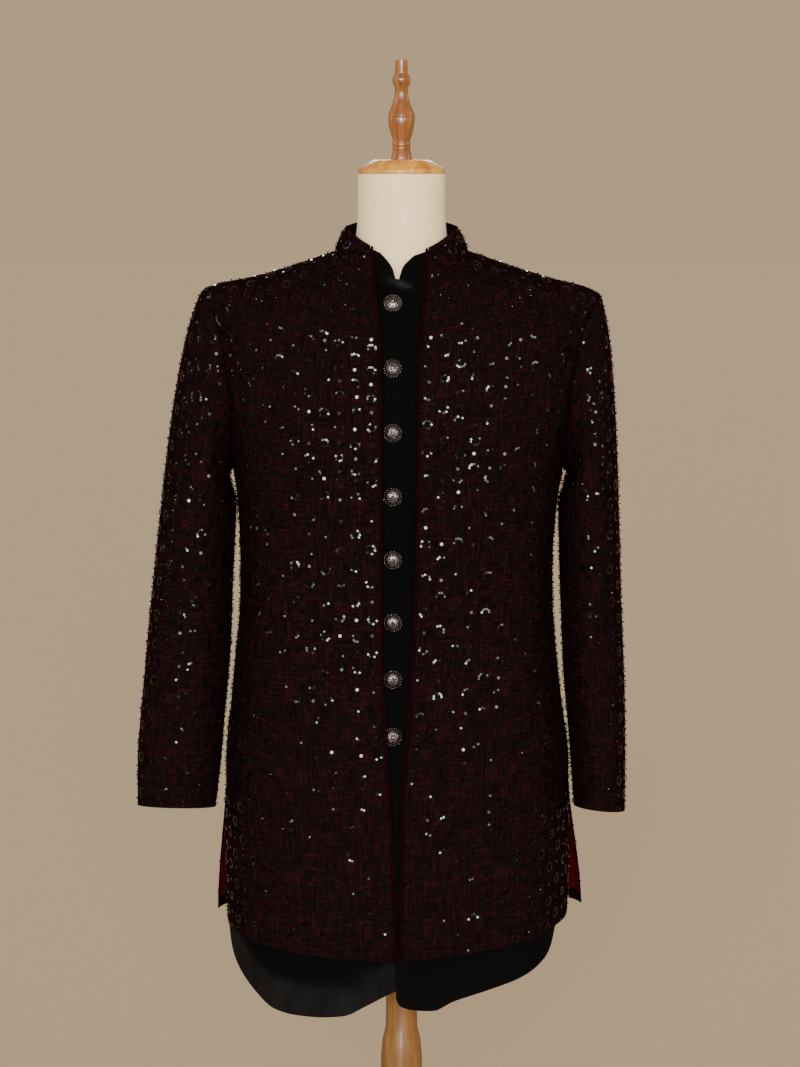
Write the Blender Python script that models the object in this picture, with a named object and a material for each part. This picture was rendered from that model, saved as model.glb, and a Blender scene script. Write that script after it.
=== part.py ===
"""An open sequinned sherwani coat with its buttoned velvet front, worn by a dress form on a wooden stand.

The front faces -Y, the wearer's left is +X, the floor is z = 0, and the pole stands on the origin. Metres.
The cloth follows one body surface. A point of it has a side (+1 the wearer's left, -1 the right), an angle
from the centre front (0) past the side seam (90 degrees) to the centre back (180), and a row of BODY.
"""

import math
from collections import namedtuple

import bmesh
import bpy
from mathutils import Vector
from mathutils.bvhtree import BVHTree

# Cloth and clearances
SEAM_GAP = 0.0003
COAT_WALL = 0.0025
VELVET_WALL = 0.0020
LINING_WALL = 0.0010
PIPING_WIDTH = 0.0030
PIPING_WALL = 0.0034

# Rows of the body surface, from under the hem to the neck. The tip widens the ring at the shoulder only.
Section = namedtuple("Section", "z_side z_front z_back half_width tip front back square shift")
TIP_SPREAD = math.radians(32)
BODY = [
    #       z_side  z_front  z_back  half_w  tip     front   back    square  shift
    Section(0.5400, 0.5400, 0.5400, 0.2020, 0.0000, 0.1500, 0.1400, 0.045, -0.0050),
    Section(0.6650, 0.6650, 0.6650, 0.2020, 0.0000, 0.1480, 0.1370, 0.045, -0.0050),
    Section(0.7700, 0.7700, 0.7700, 0.2025, 0.0000, 0.1440, 0.1320, 0.045, -0.0050),
    Section(0.8470, 0.8470, 0.8470, 0.2025, 0.0000, 0.1400, 0.1270, 0.045, -0.0050),
    Section(0.9190, 0.9190, 0.9190, 0.1950, 0.0000, 0.1345, 0.1180, 0.045, -0.0060),
    Section(0.9670, 0.9670, 0.9670, 0.1900, 0.0000, 0.1310, 0.1120, 0.045, -0.0065),
    Section(1.0380, 1.0380, 1.0380, 0.1840, 0.0000, 0.1285, 0.1080, 0.045, -0.0060),
    Section(1.0850, 1.0850, 1.0850, 0.1835, 0.0000, 0.1300, 0.1100, 0.045, -0.0060),
    Section(1.1400, 1.1400, 1.1400, 0.1860, 0.0000, 0.1330, 0.1150, 0.045, -0.0050),
    Section(1.1950, 1.1950, 1.1950, 0.1930, 0.0000, 0.1350, 0.1200, 0.045, -0.0040),
    Section(1.2500, 1.2350, 1.2450, 0.2015, 0.0020, 0.1345, 0.1230, 0.045, -0.0030),
    Section(1.3050, 1.2750, 1.2950, 0.2085, 0.0070, 0.1295, 0.1235, 0.040, -0.0020),
    Section(1.3580, 1.3110, 1.3430, 0.2120, 0.0150, 0.1215, 0.1190, 0.030, -0.0010),
    Section(1.3950, 1.3400, 1.3830, 0.2085, 0.0270, 0.1125, 0.1095, 0.020, 0.0000),
    Section(1.4070, 1.3600, 1.4040, 0.1950, 0.0215, 0.1065, 0.1010, 0.010, 0.0000),
    Section(1.4170, 1.3770, 1.4210, 0.1680, 0.0070, 0.0995, 0.0920, 0.000, 0.0000),
    Section(1.4310, 1.3930, 1.4370, 0.1275, 0.0005, 0.0920, 0.0825, 0.000, 0.0000),
    Section(1.4480, 1.4080, 1.4520, 0.0777, 0.0000, 0.0850, 0.0730, 0.000, 0.0000),
]
ARMPIT_ROW = 9
TIP_ROW = 13
NECK_ROW = 17

# The armhole's top lies a little past the widest row, where the shoulder already faces up
ARMHOLE_TOP_ROW = 13.4

# Armhole: how far it cuts into the front and the back, in radians of the body surface
ARMHOLE_FRONT = math.radians(24)
ARMHOLE_BACK = math.radians(26)

# The wearer's right shoulder sits a little higher than the left
SHOULDER_LIFT = {-1: 0.0030, 1: -0.0020}

# Side slits: the back swings out past the front below the slit's top
SLIT_TOP = 0.8400
SLIT_BOTTOM = 0.6650
BACK_FLARE = {-1: 0.0130, 1: 0.0185}
BACK_LIFT = {-1: 0.0, 1: 0.0070}
SLIT_GAP_FRONT = math.radians(1.5)
SLIT_GAP_BACK = math.radians(5.0)

# Edges of the coat's open fronts: height, x of the wearer's right edge, x of the left edge
FrontEdge = namedtuple("FrontEdge", "z right left")
FRONT_EDGES = [
    FrontEdge(0.5400, -0.0048, -0.0032),
    FrontEdge(0.6394, -0.0050, -0.0030),
    FrontEdge(0.7013, -0.0067, -0.0022),
    FrontEdge(0.7874, -0.0100, 0.0000),
    FrontEdge(0.8719, -0.0155, 0.0033),
    FrontEdge(0.9491, -0.0198, 0.0096),
    FrontEdge(1.0248, -0.0214, 0.0138),
    FrontEdge(1.1014, -0.0222, 0.0162),
    FrontEdge(1.2480, -0.0218, 0.0180),
    FrontEdge(1.3500, -0.0236, 0.0210),
    FrontEdge(1.4080, -0.0291, 0.0257),
]

# Hems: angle in degrees from the centre front, height of the edge
Hem = namedtuple("Hem", "angle z")
COAT_HEM_RIGHT = [Hem(0, 0.6370), Hem(34, 0.6460), Hem(62, 0.6570), Hem(80, 0.6630), Hem(90, 0.6720)]
COAT_HEM_LEFT = [Hem(0, 0.6370), Hem(34, 0.6520), Hem(62, 0.6640), Hem(80, 0.6700), Hem(90, 0.6820)]
COAT_HEM_BACK = [Hem(90, 0.6665), Hem(120, 0.6640), Hem(150, 0.6600), Hem(180, 0.6580)]
VELVET_HEM_RIGHT = [
    Hem(-8, 0.6120),
    Hem(1, 0.6010),
    Hem(9, 0.5844),
    Hem(15, 0.5730),
    Hem(23, 0.5705),
    Hem(31, 0.5718),
    Hem(40, 0.5771),
    Hem(49, 0.5912),
    Hem(60, 0.6104),
    Hem(70, 0.6307),
    Hem(80, 0.6600),
    Hem(90, 0.6900),
]
VELVET_HEM_LEFT = [
    Hem(-8, 0.6300),
    Hem(-1.2, 0.6000),
    Hem(1, 0.5850),
    Hem(4, 0.5810),
    Hem(10, 0.5795),
    Hem(16, 0.5900),
    Hem(28, 0.6021),
    Hem(41, 0.6136),
    Hem(53, 0.6265),
    Hem(58, 0.6330),
    Hem(62, 0.6430),
    Hem(66, 0.6620),
    Hem(71, 0.6900),
    Hem(90, 0.7100),
]

# Slit lining: how many of the back's columns and rows it spans, and its turn-ins as a share of the first
LINING_COLUMNS = 2
LINING_STEPS = 3
LINING_HEM_SHARE = 0.35
LINING_EDGE_SHARE = 0.10

# Soft folds in the skirt: side, angle, half angle of the trough, depth, height where it dies out
Fold = namedtuple("Fold", "side angle spread depth top")
SKIRT_FOLDS = [
    Fold(1, math.radians(60), math.radians(13), 0.0035, 0.95),
    Fold(1, math.radians(28), math.radians(12), 0.0015, 0.85),
    Fold(-1, math.radians(52), math.radians(13), 0.0025, 0.90),
    Fold(1, math.radians(118), math.radians(14), 0.0050, 1.00),
    Fold(-1, math.radians(116), math.radians(14), 0.0050, 1.00),
    Fold(1, math.radians(152), math.radians(14), 0.0045, 0.98),
    Fold(-1, math.radians(156), math.radians(14), 0.0045, 0.98),
]

# Velvet front: how far it lies inside the coat, and where its edges overlap
VELVET_INSET_SHOULDER = 0.0035
VELVET_INSET_CHEST = 0.0105
VELVET_INSET_HEM = 0.0045
VELVET_LAST_TURN = math.radians(20)
UNDERLAP_DROP = 0.0030
UNDERLAP_FULL_ANGLE = math.radians(22)
UNDERLAP_END_ANGLE = math.radians(42)
OVERLAP_EDGE = [
    (0.5400, -0.0050),
    (0.6500, -0.0070),
    (0.8000, -0.0150),
    (0.9000, -0.0225),
    (1.4100, -0.0225),
]
UNDERLAP_EDGE = [
    (0.5400, -0.0060),
    (0.6500, -0.0020),
    (0.8000, 0.0080),
    (0.9000, 0.0140),
    (1.4100, 0.0140),
]

# Band collars, shown as the coat's: top ring of the outer face, and its open front ends
COLLAR_TOP = Section(1.4765, 1.4465, 1.4880, 0.0650, 0.0, 0.0740, 0.0620, 0.0, 0.0)
COLLAR_BULGE = 0.0015
COAT_COLLAR_END = {-1: (-0.0291, -0.0325), 1: (0.0257, 0.0275)}
VELVET_COLLAR_END = {-1: (-0.0086, -0.0120), 1: (-0.0066, 0.0010)}
VELVET_COLLAR_INSET = 0.0034
VELVET_COLLAR_CORNER = 0.0220
VELVET_COLLAR_END_HEIGHT = 0.32
VELVET_COLLAR_HEIGHT = 0.94

# Sleeves, from just under the armhole to the cuff: ring centre, half sizes, lift of outer side and front
Cuff = namedtuple("Cuff", "z x y across deep lift_out lift_front")
SLEEVES = {
    -1: [
        Cuff(1.1500, 0.2380, 0.0000, 0.0445, 0.0680, 0.0, 0.0),
        Cuff(1.0630, 0.2449, -0.0040, 0.0470, 0.0660, 0.0, 0.0),
        Cuff(0.9690, 0.2513, -0.0120, 0.0495, 0.0600, 0.0, 0.0),
        Cuff(0.8760, 0.2595, -0.0240, 0.0495, 0.0510, 0.0, 0.0),
        Cuff(0.7990, 0.2641, -0.0340, 0.0459, 0.0435, 0.001, 0.0045),
    ],
    1: [
        Cuff(1.1500, 0.2195, 0.0000, 0.0355, 0.0740, 0.0, 0.0),
        Cuff(1.0630, 0.2219, -0.0040, 0.0358, 0.0720, 0.0, 0.0),
        Cuff(0.9690, 0.2254, -0.0120, 0.0358, 0.0660, 0.0, 0.0),
        Cuff(0.8760, 0.2300, -0.0240, 0.0330, 0.0600, 0.0, 0.0),
        Cuff(0.7970, 0.2323, -0.0340, 0.0300, 0.0540, -0.003, 0.0045),
    ],
}
# How strongly a sleeve springs out and down from the shoulder tip
SLEEVE_SPRING = {-1: (0.0720, 0.0930), 1: (0.0480, 0.0930)}
# Steps round the armhole, counted from the shoulder tip over the front, at which the sleeve's seams lie
SLEEVE_SEAM_FRONT = 5
SLEEVE_SEAM_BACK = 15

# Buttons down the velvet front
BUTTON_COUNT = 8
BUTTON_TOP_Z = 1.3890
BUTTON_PITCH = 0.0725
LOW_BUTTON_PITCH = 0.0655
LOW_BUTTONS = 2
BUTTON_X = -0.0098
BUTTON_RADIUS = 0.0108
BUTTON_SEGMENTS = 12
BUTTON_PROFILE = [
    (0.62, 0.0),
    (0.66, 0.0012),
    (0.98, 0.0020),
    (0.98, 0.0034),
    (0.75, 0.0058),
    (0.42, 0.0073),
    (0.16, 0.0078),
]

# Dress form: how far it lies inside the coat's outer face, and its neck
FORM_BOTTOM_Z = 0.8000
FORM_INSET_SHOULDER = 0.0080
FORM_INSET_CHEST = 0.0165
FORM_TIP_SHARE = 0.74
NECK_TOP_Z = 1.5370
FORM_NECK = [
    #       z_side  z_front  z_back  half_w  tip  front   back   square  shift
    Section(1.4354, 1.3940, 1.4390, 0.0860, 0.0, 0.0750, 0.0690, 0.0, 0.0),
    Section(1.4440, 1.4120, 1.4510, 0.0640, 0.0, 0.0650, 0.0600, 0.0, 0.0),
    Section(1.4600, 1.4350, 1.4670, 0.0545, 0.0, 0.0560, 0.0540, 0.0, 0.0),
    Section(1.4850, 1.4750, 1.4870, 0.0512, 0.0, 0.0525, 0.0520, 0.0, 0.0),
    Section(NECK_TOP_Z, NECK_TOP_Z, NECK_TOP_Z, 0.0505, 0.0, 0.0515, 0.0515, 0.0, 0.0),
]

# Turned pieces: radius, height, from the bottom up
CAP_PROFILE = [(0.0503, 1.5373), (0.0503, 1.5418), (0.0490, 1.5432), (0.0335, 1.5526), (0.0315, 1.5532)]
FINIAL_PROFILE = [
    (0.0123, 1.5535),
    (0.0121, 1.5550),
    (0.0110, 1.5620),
    (0.0099, 1.5638),
    (0.0109, 1.5652),
    (0.0109, 1.5672),
    (0.0099, 1.5686),
    (0.0109, 1.5700),
    (0.0108, 1.5722),
    (0.0098, 1.5745),
    (0.0127, 1.5830),
    (0.0150, 1.5930),
    (0.0157, 1.6010),
    (0.0152, 1.6025),
    (0.0158, 1.6040),
    (0.0143, 1.6090),
    (0.0102, 1.6190),
    (0.0079, 1.6280),
    (0.0080, 1.6370),
    (0.0100, 1.6405),
    (0.0108, 1.6453),
    (0.0099, 1.6495),
    (0.0073, 1.6530),
    (0.0075, 1.6560),
    (0.0068, 1.6684),
]
BASE_RADIUS = 0.1900
BASE_HEIGHT = 0.0280
BASE_PROFILE = [
    (BASE_RADIUS - 0.004, 0.0),
    (BASE_RADIUS, 0.004),
    (BASE_RADIUS, 0.017),
    (BASE_RADIUS - 0.004, 0.023),
    (BASE_RADIUS - 0.014, BASE_HEIGHT),
]
POLE_PROFILE = [
    (0.0360, BASE_HEIGHT + SEAM_GAP),
    (0.0370, 0.0360),
    (0.0330, 0.0460),
    (0.0255, 0.0580),
    (0.0245, 0.0700),
    (0.0265, 0.1000),
    (0.0262, 0.3000),
    (0.0245, 0.4900),
    (0.0225, 0.5120),
    (0.0190, 0.5260),
    (0.0185, 0.5450),
    (0.0185, FORM_BOTTOM_Z - SEAM_GAP),
]

# How finely the surfaces are cut up
ARMHOLE_STEPS = 10
SKIRT_STEPS = 12
VELVET_SKIRT_STEPS = 13
FRONT_COLUMNS = 9
PLACKET_COLUMNS = 3
BACK_COLUMNS = 8
COLLAR_COLUMNS = 14
COLLAR_ROWS = 3
SLEEVE_HEAD_STEPS = 6
SLEEVE_STEPS = 9
FORM_COLUMNS = 28

COLOURS = {
    "sequin_cloth": ((0.020, 0.006, 0.007, 1.0), 0.75, 0.0),
    "velvet": ((0.010, 0.008, 0.008, 1.0), 0.90, 0.0),
    "maroon_satin": ((0.090, 0.008, 0.016, 1.0), 0.45, 0.0),
    "crimson_lining": ((0.180, 0.010, 0.035, 1.0), 0.40, 0.0),
    "gunmetal": ((0.180, 0.160, 0.165, 1.0), 0.35, 1.0),
    "form_jersey": ((0.720, 0.650, 0.530, 1.0), 0.85, 0.0),
    "light_beech": ((0.560, 0.330, 0.140, 1.0), 0.45, 0.0),
    "brown_beech": ((0.330, 0.130, 0.050, 1.0), 0.30, 0.0),
}


def material(name):
    """The material of that name, made on first use."""
    found = bpy.data.materials.get(name)
    if found:
        return found
    colour, roughness, metallic = COLOURS[name]
    made = bpy.data.materials.new(name)
    made.use_nodes = True
    made.diffuse_color = colour
    shader = made.node_tree.nodes["Principled BSDF"]
    shader.inputs["Base Color"].default_value = colour
    shader.inputs["Roughness"].default_value = roughness
    shader.inputs["Metallic"].default_value = metallic
    return made


def ease(value):
    """0 to 1 with level ends."""
    value = min(1.0, max(0.0, value))
    return value * value * (3 - 2 * value)


def along(values, position):
    """The value at a fractional index of a list, on a smooth curve that never overshoots its points."""
    position = min(max(position, 0.0), len(values) - 1.0)
    low = min(int(position), len(values) - 2)

    def slope(index):
        if index == 0:
            return values[1] - values[0]
        if index == len(values) - 1:
            return values[-1] - values[-2]
        before = values[index] - values[index - 1]
        after = values[index + 1] - values[index]
        return 2 * before * after / (before + after) if before * after > 0 else 0.0

    t = position - low
    start, end = values[low], values[low + 1]
    return (
        (2 * t**3 - 3 * t**2 + 1) * start
        + (t**3 - 2 * t**2 + t) * slope(low)
        + (3 * t**2 - 2 * t**3) * end
        + (t**3 - t**2) * slope(low + 1)
    )


def index_of(values, wanted):
    """The fractional index at which a rising list reaches the wanted value."""
    low, high = 0.0, len(values) - 1.0
    for _ in range(40):
        middle = (low + high) / 2
        if along(values, middle) < wanted:
            low = middle
        else:
            high = middle
    return (low + high) / 2


def read(table, key, wanted, column):
    """A column of a table where its key column has the wanted value."""
    return along([row[column] for row in table], index_of([row[key] for row in table], wanted))


BODY_COLUMNS = [list(column) for column in zip(*BODY)]


def body_section(row):
    return Section(*(along(column, row) for column in BODY_COLUMNS))


def row_at(z_side):
    """The row of the body surface whose side stands at that height."""
    return index_of(BODY_COLUMNS[0], z_side)


def section_point(section, side, angle, flare=0.0):
    """A point of one ring: a rounded oval whose front, side and back stand at their own heights."""
    square = section.square
    across = (math.sin(angle) + square * math.sin(3 * angle)) / (1 - square)
    forward = (math.cos(angle) - square * math.cos(3 * angle)) / (1 - square)
    depth = section.front if forward > 0 else section.back
    end_z = section.z_front if forward > 0 else section.z_back
    half_width = section.half_width + (flare if forward < 0 else 0.0)
    tip = section.tip * math.exp(-(((angle - math.pi / 2) / TIP_SPREAD) ** 2))
    return Vector(
        (
            section.shift + side * (half_width * across + tip),
            -depth * forward,
            section.z_side + (end_z - section.z_side) * forward**2,
        )
    )


def fold_depth(side, angle, z):
    """How far the skirt's soft folds push the cloth in at a place."""
    depth = 0.0
    for fold in SKIRT_FOLDS:
        if fold.side == side or angle > math.radians(150):
            centre = fold.angle if fold.side == side else 2 * math.pi - fold.angle
            bump = math.exp(-(((angle - centre) / fold.spread) ** 2))
            depth += fold.depth * bump * ease((fold.top - z) / (fold.top - SLIT_BOTTOM))
    return depth


def shoulder_lift(side, angle, row):
    return SHOULDER_LIFT[side] * math.sin(angle) ** 2 * ease(1 - abs(row - TIP_ROW) / 3)


def coat_point(side, angle, row):
    """A point of the coat's outer face."""
    section = body_section(row)
    opened = ease((SLIT_TOP - section.z_side) / (SLIT_TOP - SLIT_BOTTOM))
    point = section_point(section, side, angle, BACK_FLARE[side] * opened)
    inward = fold_depth(side, angle, point.z)
    point.z += shoulder_lift(side, angle, row)
    return point - inward * Vector((side * math.sin(angle), -math.cos(angle), 0))


def coat_normal(side, angle, row):
    """The outward normal of the coat's outer face."""
    small_angle, small_row = 0.01, 0.02
    low_row, high_row = max(row - small_row, 0), min(row + small_row, NECK_ROW)
    round_it = coat_point(side, angle + small_angle, row) - coat_point(side, angle - small_angle, row)
    up_it = coat_point(side, angle, high_row) - coat_point(side, angle, low_row)
    return (side * round_it.cross(up_it)).normalized()


def inset(side, angle, row, depth):
    """A point that lies inside the coat's outer face, and the normal there."""
    normal = coat_normal(side, angle, row)
    return coat_point(side, angle, row) - depth * normal, normal


def angle_at_x(side, x, section):
    """The angle near the centre front at which a ring has that x. Negative past the centre line."""
    stretch = section.half_width * (1 + 3 * section.square) / (1 - section.square)
    return math.asin(side * (x - section.shift) / stretch)


def hem_z(table, angle):
    return read(table, 0, math.degrees(angle), 1)


def new_object(name, mesh, material_name, smooth=True):
    mesh.materials.append(material(material_name))
    made = bpy.data.objects.new(name, mesh)
    bpy.context.scene.collection.objects.link(made)
    if smooth:
        mesh.shade_smooth()
        mesh.set_sharp_from_angle(angle=math.radians(50))
    return made


def finish(name, shape, material_name, smooth=True):
    """A bmesh made into an object, its faces pointing out."""
    bmesh.ops.recalc_face_normals(shape, faces=shape.faces)
    mesh = bpy.data.meshes.new(name)
    shape.to_mesh(mesh)
    shape.free()
    return new_object(name, mesh, material_name, smooth)


def wall(name, outer, inner, material_name):
    """A closed cloth wall between two grids of points, each a list of rows of equal length."""
    shape = bmesh.new()
    rows, columns = len(outer), len(outer[0])
    front = [[shape.verts.new(point) for point in row] for row in outer]
    back = [[shape.verts.new(point) for point in row] for row in inner]
    for j in range(rows - 1):
        for k in range(columns - 1):
            for grid in (front, back):
                shape.faces.new((grid[j][k], grid[j][k + 1], grid[j + 1][k + 1]))
                shape.faces.new((grid[j][k], grid[j + 1][k + 1], grid[j + 1][k]))
    rim = [(0, k) for k in range(columns)]
    rim += [(j, columns - 1) for j in range(1, rows)]
    rim += [(rows - 1, k) for k in range(columns - 2, -1, -1)]
    rim += [(j, 0) for j in range(rows - 2, 0, -1)]
    for (j, k), (m, n) in zip(rim, rim[1:] + rim[:1]):
        shape.faces.new((front[j][k], front[m][n], back[m][n]))
        shape.faces.new((front[j][k], back[m][n], back[j][k]))
    return finish(name, shape, material_name)


def thicken(faces, thickness):
    """Outer and inner grids from a grid of (point, normal) pairs."""
    outer = [[point for point, _ in row] for row in faces]
    inner = [[point - thickness * normal for point, normal in row] for row in faces]
    return outer, inner


def armhole_turns():
    """Angles round the armhole, from the shoulder tip (0) over the front to the armpit (pi)."""
    return [math.pi * step / ARMHOLE_STEPS for step in range(ARMHOLE_STEPS + 1)]


def armhole_row(turn):
    return ARMPIT_ROW + (ARMHOLE_TOP_ROW - ARMPIT_ROW) * (1 + math.cos(turn)) / 2


def armhole_angle(turn):
    """The armhole's angle on the body surface. A turn past pi is on the back."""
    cut = ARMHOLE_FRONT if math.sin(turn) >= 0 else ARMHOLE_BACK
    return math.pi / 2 - cut * math.sin(turn)


def upper_rows():
    """Rows of the panels above the armpit, with the armhole's turn at each, or None on the shoulder."""
    rows = [(armhole_row(turn), turn) for turn in reversed(armhole_turns()[:-1])]
    return rows + [(TIP_ROW + step, None) for step in range(1, NECK_ROW - TIP_ROW + 1)]


def seam_angle(section):
    """Half the seam gap at the side seam or the shoulder seam, as an angle."""
    return SEAM_GAP / 2 / min(section.front, section.back)


def front_end_angle(row, turn):
    """Where a front panel ends: the side seam, the slit, the armhole or the shoulder seam."""
    section = body_section(row)
    if turn is not None and turn < math.pi:
        return armhole_angle(turn) - (seam_angle(section) if turn < 0.01 else 0.0)
    opened = ease((SLIT_TOP - section.z_side) / (SLIT_TOP - SLIT_BOTTOM))
    return math.pi / 2 - seam_angle(section) - SLIT_GAP_FRONT * opened


def back_end_angle(row, turn):
    section = body_section(row)
    if turn is not None and turn < math.pi:
        return armhole_angle(-turn) + (seam_angle(section) if turn < 0.01 else 0.0)
    opened = ease((SLIT_TOP - section.z_side) / (SLIT_TOP - SLIT_BOTTOM))
    return math.pi / 2 + seam_angle(section) + SLIT_GAP_BACK * opened


def front_edge_x(side, z):
    return read(FRONT_EDGES, 0, z, 2 if side > 0 else 1)


def front_edge_angle(side, row, extra=0.0):
    """The angle of a coat front's open edge, extra metres back from it."""
    section = body_section(row)
    return angle_at_x(side, front_edge_x(side, section.z_front) + side * extra, section)


def front_angles(side, row, turn):
    """Angles of a coat front's columns on one row, from the open edge, inside its piping, to the side."""
    start = front_edge_angle(side, row, PIPING_WIDTH + SEAM_GAP)
    end = front_end_angle(row, turn)
    return [start + (end - start) * k / FRONT_COLUMNS for k in range(FRONT_COLUMNS + 1)]


def skirt_row(table, angle, step, steps):
    """A row between the hem and the armpit, following the hem's curve at the bottom."""
    hem = row_at(hem_z(table, angle))
    return hem + (ARMPIT_ROW - hem) * step / steps


def coat_front(side, name):
    hem = COAT_HEM_LEFT if side > 0 else COAT_HEM_RIGHT
    faces = []
    for step in range(SKIRT_STEPS + 1):
        plain = skirt_row(hem, math.radians(45), step, SKIRT_STEPS)
        angles = front_angles(side, plain, math.pi)
        faces.append([inset(side, a, skirt_row(hem, a, step, SKIRT_STEPS), 0.0) for a in angles])
    for row, turn in upper_rows():
        faces.append([inset(side, a, row, 0.0) for a in front_angles(side, row, turn)])
    return wall(name, *thicken(faces, COAT_WALL), "sequin_cloth")


def back_half(side, ends, row_of):
    """One row of one half of the back, from the side to the centre, as (point, normal) pairs."""
    angles = [ends + (math.pi - ends) * k / BACK_COLUMNS for k in range(BACK_COLUMNS + 1)]
    return [inset(side, a, row_of(a), 0.0) for a in angles]


def back_skirt_half(side, step):
    hem = [Hem(at, z + BACK_LIFT[side] * (180 - at) / 90) for at, z in COAT_HEM_BACK]
    ends = back_end_angle(skirt_row(hem, math.pi, step, SKIRT_STEPS), math.pi)
    return back_half(side, ends, lambda a: skirt_row(hem, a, step, SKIRT_STEPS))


def coat_back():
    """The back, in one piece from the wearer's left side over the centre to the right."""
    faces = []
    for step in range(SKIRT_STEPS + 1):
        faces.append(back_skirt_half(1, step) + back_skirt_half(-1, step)[-2::-1])
    for row, turn in upper_rows():
        ends = back_end_angle(row, turn)
        faces.append(back_half(1, ends, lambda a: row) + back_half(-1, ends, lambda a: row)[-2::-1])
    return wall("coat_back", *thicken(faces, COAT_WALL), "sequin_cloth")


def piping(side, name):
    """The satin edge of a coat front and of the collar's open end above it."""
    hem = COAT_HEM_LEFT if side > 0 else COAT_HEM_RIGHT
    rows = [skirt_row(hem, 0.05, step, SKIRT_STEPS) for step in range(SKIRT_STEPS + 1)]
    rows += [row for row, _ in upper_rows()]
    proud = (PIPING_WALL - COAT_WALL) / 2
    faces = []
    for row in rows:
        angles = [front_edge_angle(side, row, extra) for extra in (0.0, PIPING_WIDTH)]
        faces.append([inset(side, a, row, -proud) for a in angles])
    for step in range(1, COLLAR_ROWS + 1):
        rise = step / COLLAR_ROWS
        faces.append([collar_face(side, x, rise, -proud) for x in collar_ends(side, rise)])
    return wall(name, *thicken(faces, PIPING_WALL), "maroon_satin")


def collar_ends(side, rise):
    """x of the piping's two edges at the collar's open end."""
    low, high = COAT_COLLAR_END[side]
    x = low + (high - low) * rise
    return x, x + side * PIPING_WIDTH


def collar_section(rise):
    """The ring of the coat collar's outer face at a share of its height."""
    base = BODY[NECK_ROW]
    mixed = [low + (high - low) * rise for low, high in zip(base, COLLAR_TOP)]
    return Section(*mixed)


def collar_point(side, angle, rise):
    section = collar_section(rise)
    bulge = COLLAR_BULGE * math.sin(math.pi * rise)
    point = section_point(section, side, angle)
    return point + bulge * Vector((side * math.sin(angle), -math.cos(angle), 0))


def collar_normal(side, angle, rise):
    small = 0.01
    low, high = max(rise - small, 0), min(rise + small, 1)
    round_it = collar_point(side, angle + small, rise) - collar_point(side, angle - small, rise)
    up_it = collar_point(side, angle, high) - collar_point(side, angle, low)
    return (side * round_it.cross(up_it)).normalized()


def collar_face(side, x, rise, depth):
    """A point and normal of the collar's face at that x of its open end, moved in by a depth."""
    angle = angle_at_x(side, x, collar_section(rise))
    normal = collar_normal(side, angle, rise)
    return collar_point(side, angle, rise) - depth * normal, normal


def collar(name, ends, depth, thickness, material_name, extra, corner=None):
    """A band collar, from the wearer's right front end round the back to the left front end."""
    faces = []
    for step in range(COLLAR_ROWS + 1):
        share = step / COLLAR_ROWS
        line = []
        for side in (-1, 1):
            low, high = ends[side]
            end_x = low + (high - low) * share + side * extra
            start = angle_at_x(side, end_x, collar_section(share))
            half = []
            for k in range(COLLAR_COLUMNS + 1):
                angle = start + (math.pi - start) * (k / COLLAR_COLUMNS) ** 1.5
                rise = share * collar_height(side, angle, end_x, corner)
                tall = (collar_point(side, angle, 1) - collar_point(side, angle, 0)).length
                lift = 1.4 * SEAM_GAP / tall
                rise = lift + (1 - lift) * rise
                normal = collar_normal(side, angle, rise)
                half.append((collar_point(side, angle, rise) - depth * normal, normal))
            line += half if side < 0 else half[-2::-1]
        faces.append(line)
    return wall(name, *thicken(faces, thickness), material_name)


def collar_height(side, angle, end_x, corner):
    """The share of the collar's height that stands at an angle: less near a rounded front corner."""
    if corner is None:
        return 1.0
    inward = abs(collar_point(side, angle, 0.5).x - end_x)
    rounded = min(1.0, inward / corner) ** 0.45 if angle < math.pi / 2 else 1.0
    return VELVET_COLLAR_END_HEIGHT + (VELVET_COLLAR_HEIGHT - VELVET_COLLAR_END_HEIGHT) * rounded


def underlap_drop(angle):
    """The extra depth of the velvet front that lies under the other."""
    return UNDERLAP_DROP * ease((UNDERLAP_END_ANGLE - angle) / (UNDERLAP_END_ANGLE - UNDERLAP_FULL_ANGLE))


def velvet_inset(side, angle, row):
    """How far the velvet's outer face lies inside the coat's: close at the shoulder and at the hem."""
    down = ease((TIP_ROW + 1 - row) / 4)
    depth = VELVET_INSET_SHOULDER + (VELVET_INSET_CHEST - VELVET_INSET_SHOULDER) * down
    depth += (VELVET_INSET_HEM - VELVET_INSET_CHEST) * ease((4.5 - row) / 4)
    return depth + (underlap_drop(angle) if side < 0 else 0.0)


def velvet_edge_angle(side, row):
    table = OVERLAP_EDGE if side > 0 else UNDERLAP_EDGE
    section = body_section(row)
    return angle_at_x(side, read(table, 0, section.z_front, 1), section)


def velvet_angles(side, row, turn):
    """The coat front's own columns, with the placket's ahead of them."""
    coat = front_angles(side, row, turn)
    edge = velvet_edge_angle(side, row)
    placket = [edge + (coat[0] - edge) * k / PLACKET_COLUMNS for k in range(PLACKET_COLUMNS)]
    return placket + coat


def velvet_front(side, name):
    hem = VELVET_HEM_LEFT if side > 0 else VELVET_HEM_RIGHT
    faces = []
    for step in range(VELVET_SKIRT_STEPS + 1):
        plain = skirt_row(hem, math.radians(45), step, VELVET_SKIRT_STEPS)
        line = []
        for angle in velvet_angles(side, plain, math.pi):
            row = skirt_row(hem, angle, step, VELVET_SKIRT_STEPS)
            line.append(inset(side, angle, row, velvet_inset(side, angle, row)))
        faces.append(line)
    for row, turn in upper_rows():
        if turn is None or turn > VELVET_LAST_TURN:
            angles = velvet_angles(side, row, turn)
            faces.append([inset(side, a, row, velvet_inset(side, a, row)) for a in angles])
    return wall(name, *thicken(faces, VELVET_WALL), "velvet")


def blend(start, end, share):
    """A (point, normal) pair between two others."""
    return start[0].lerp(end[0], share), start[1].lerp(end[1], share).normalized()


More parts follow.
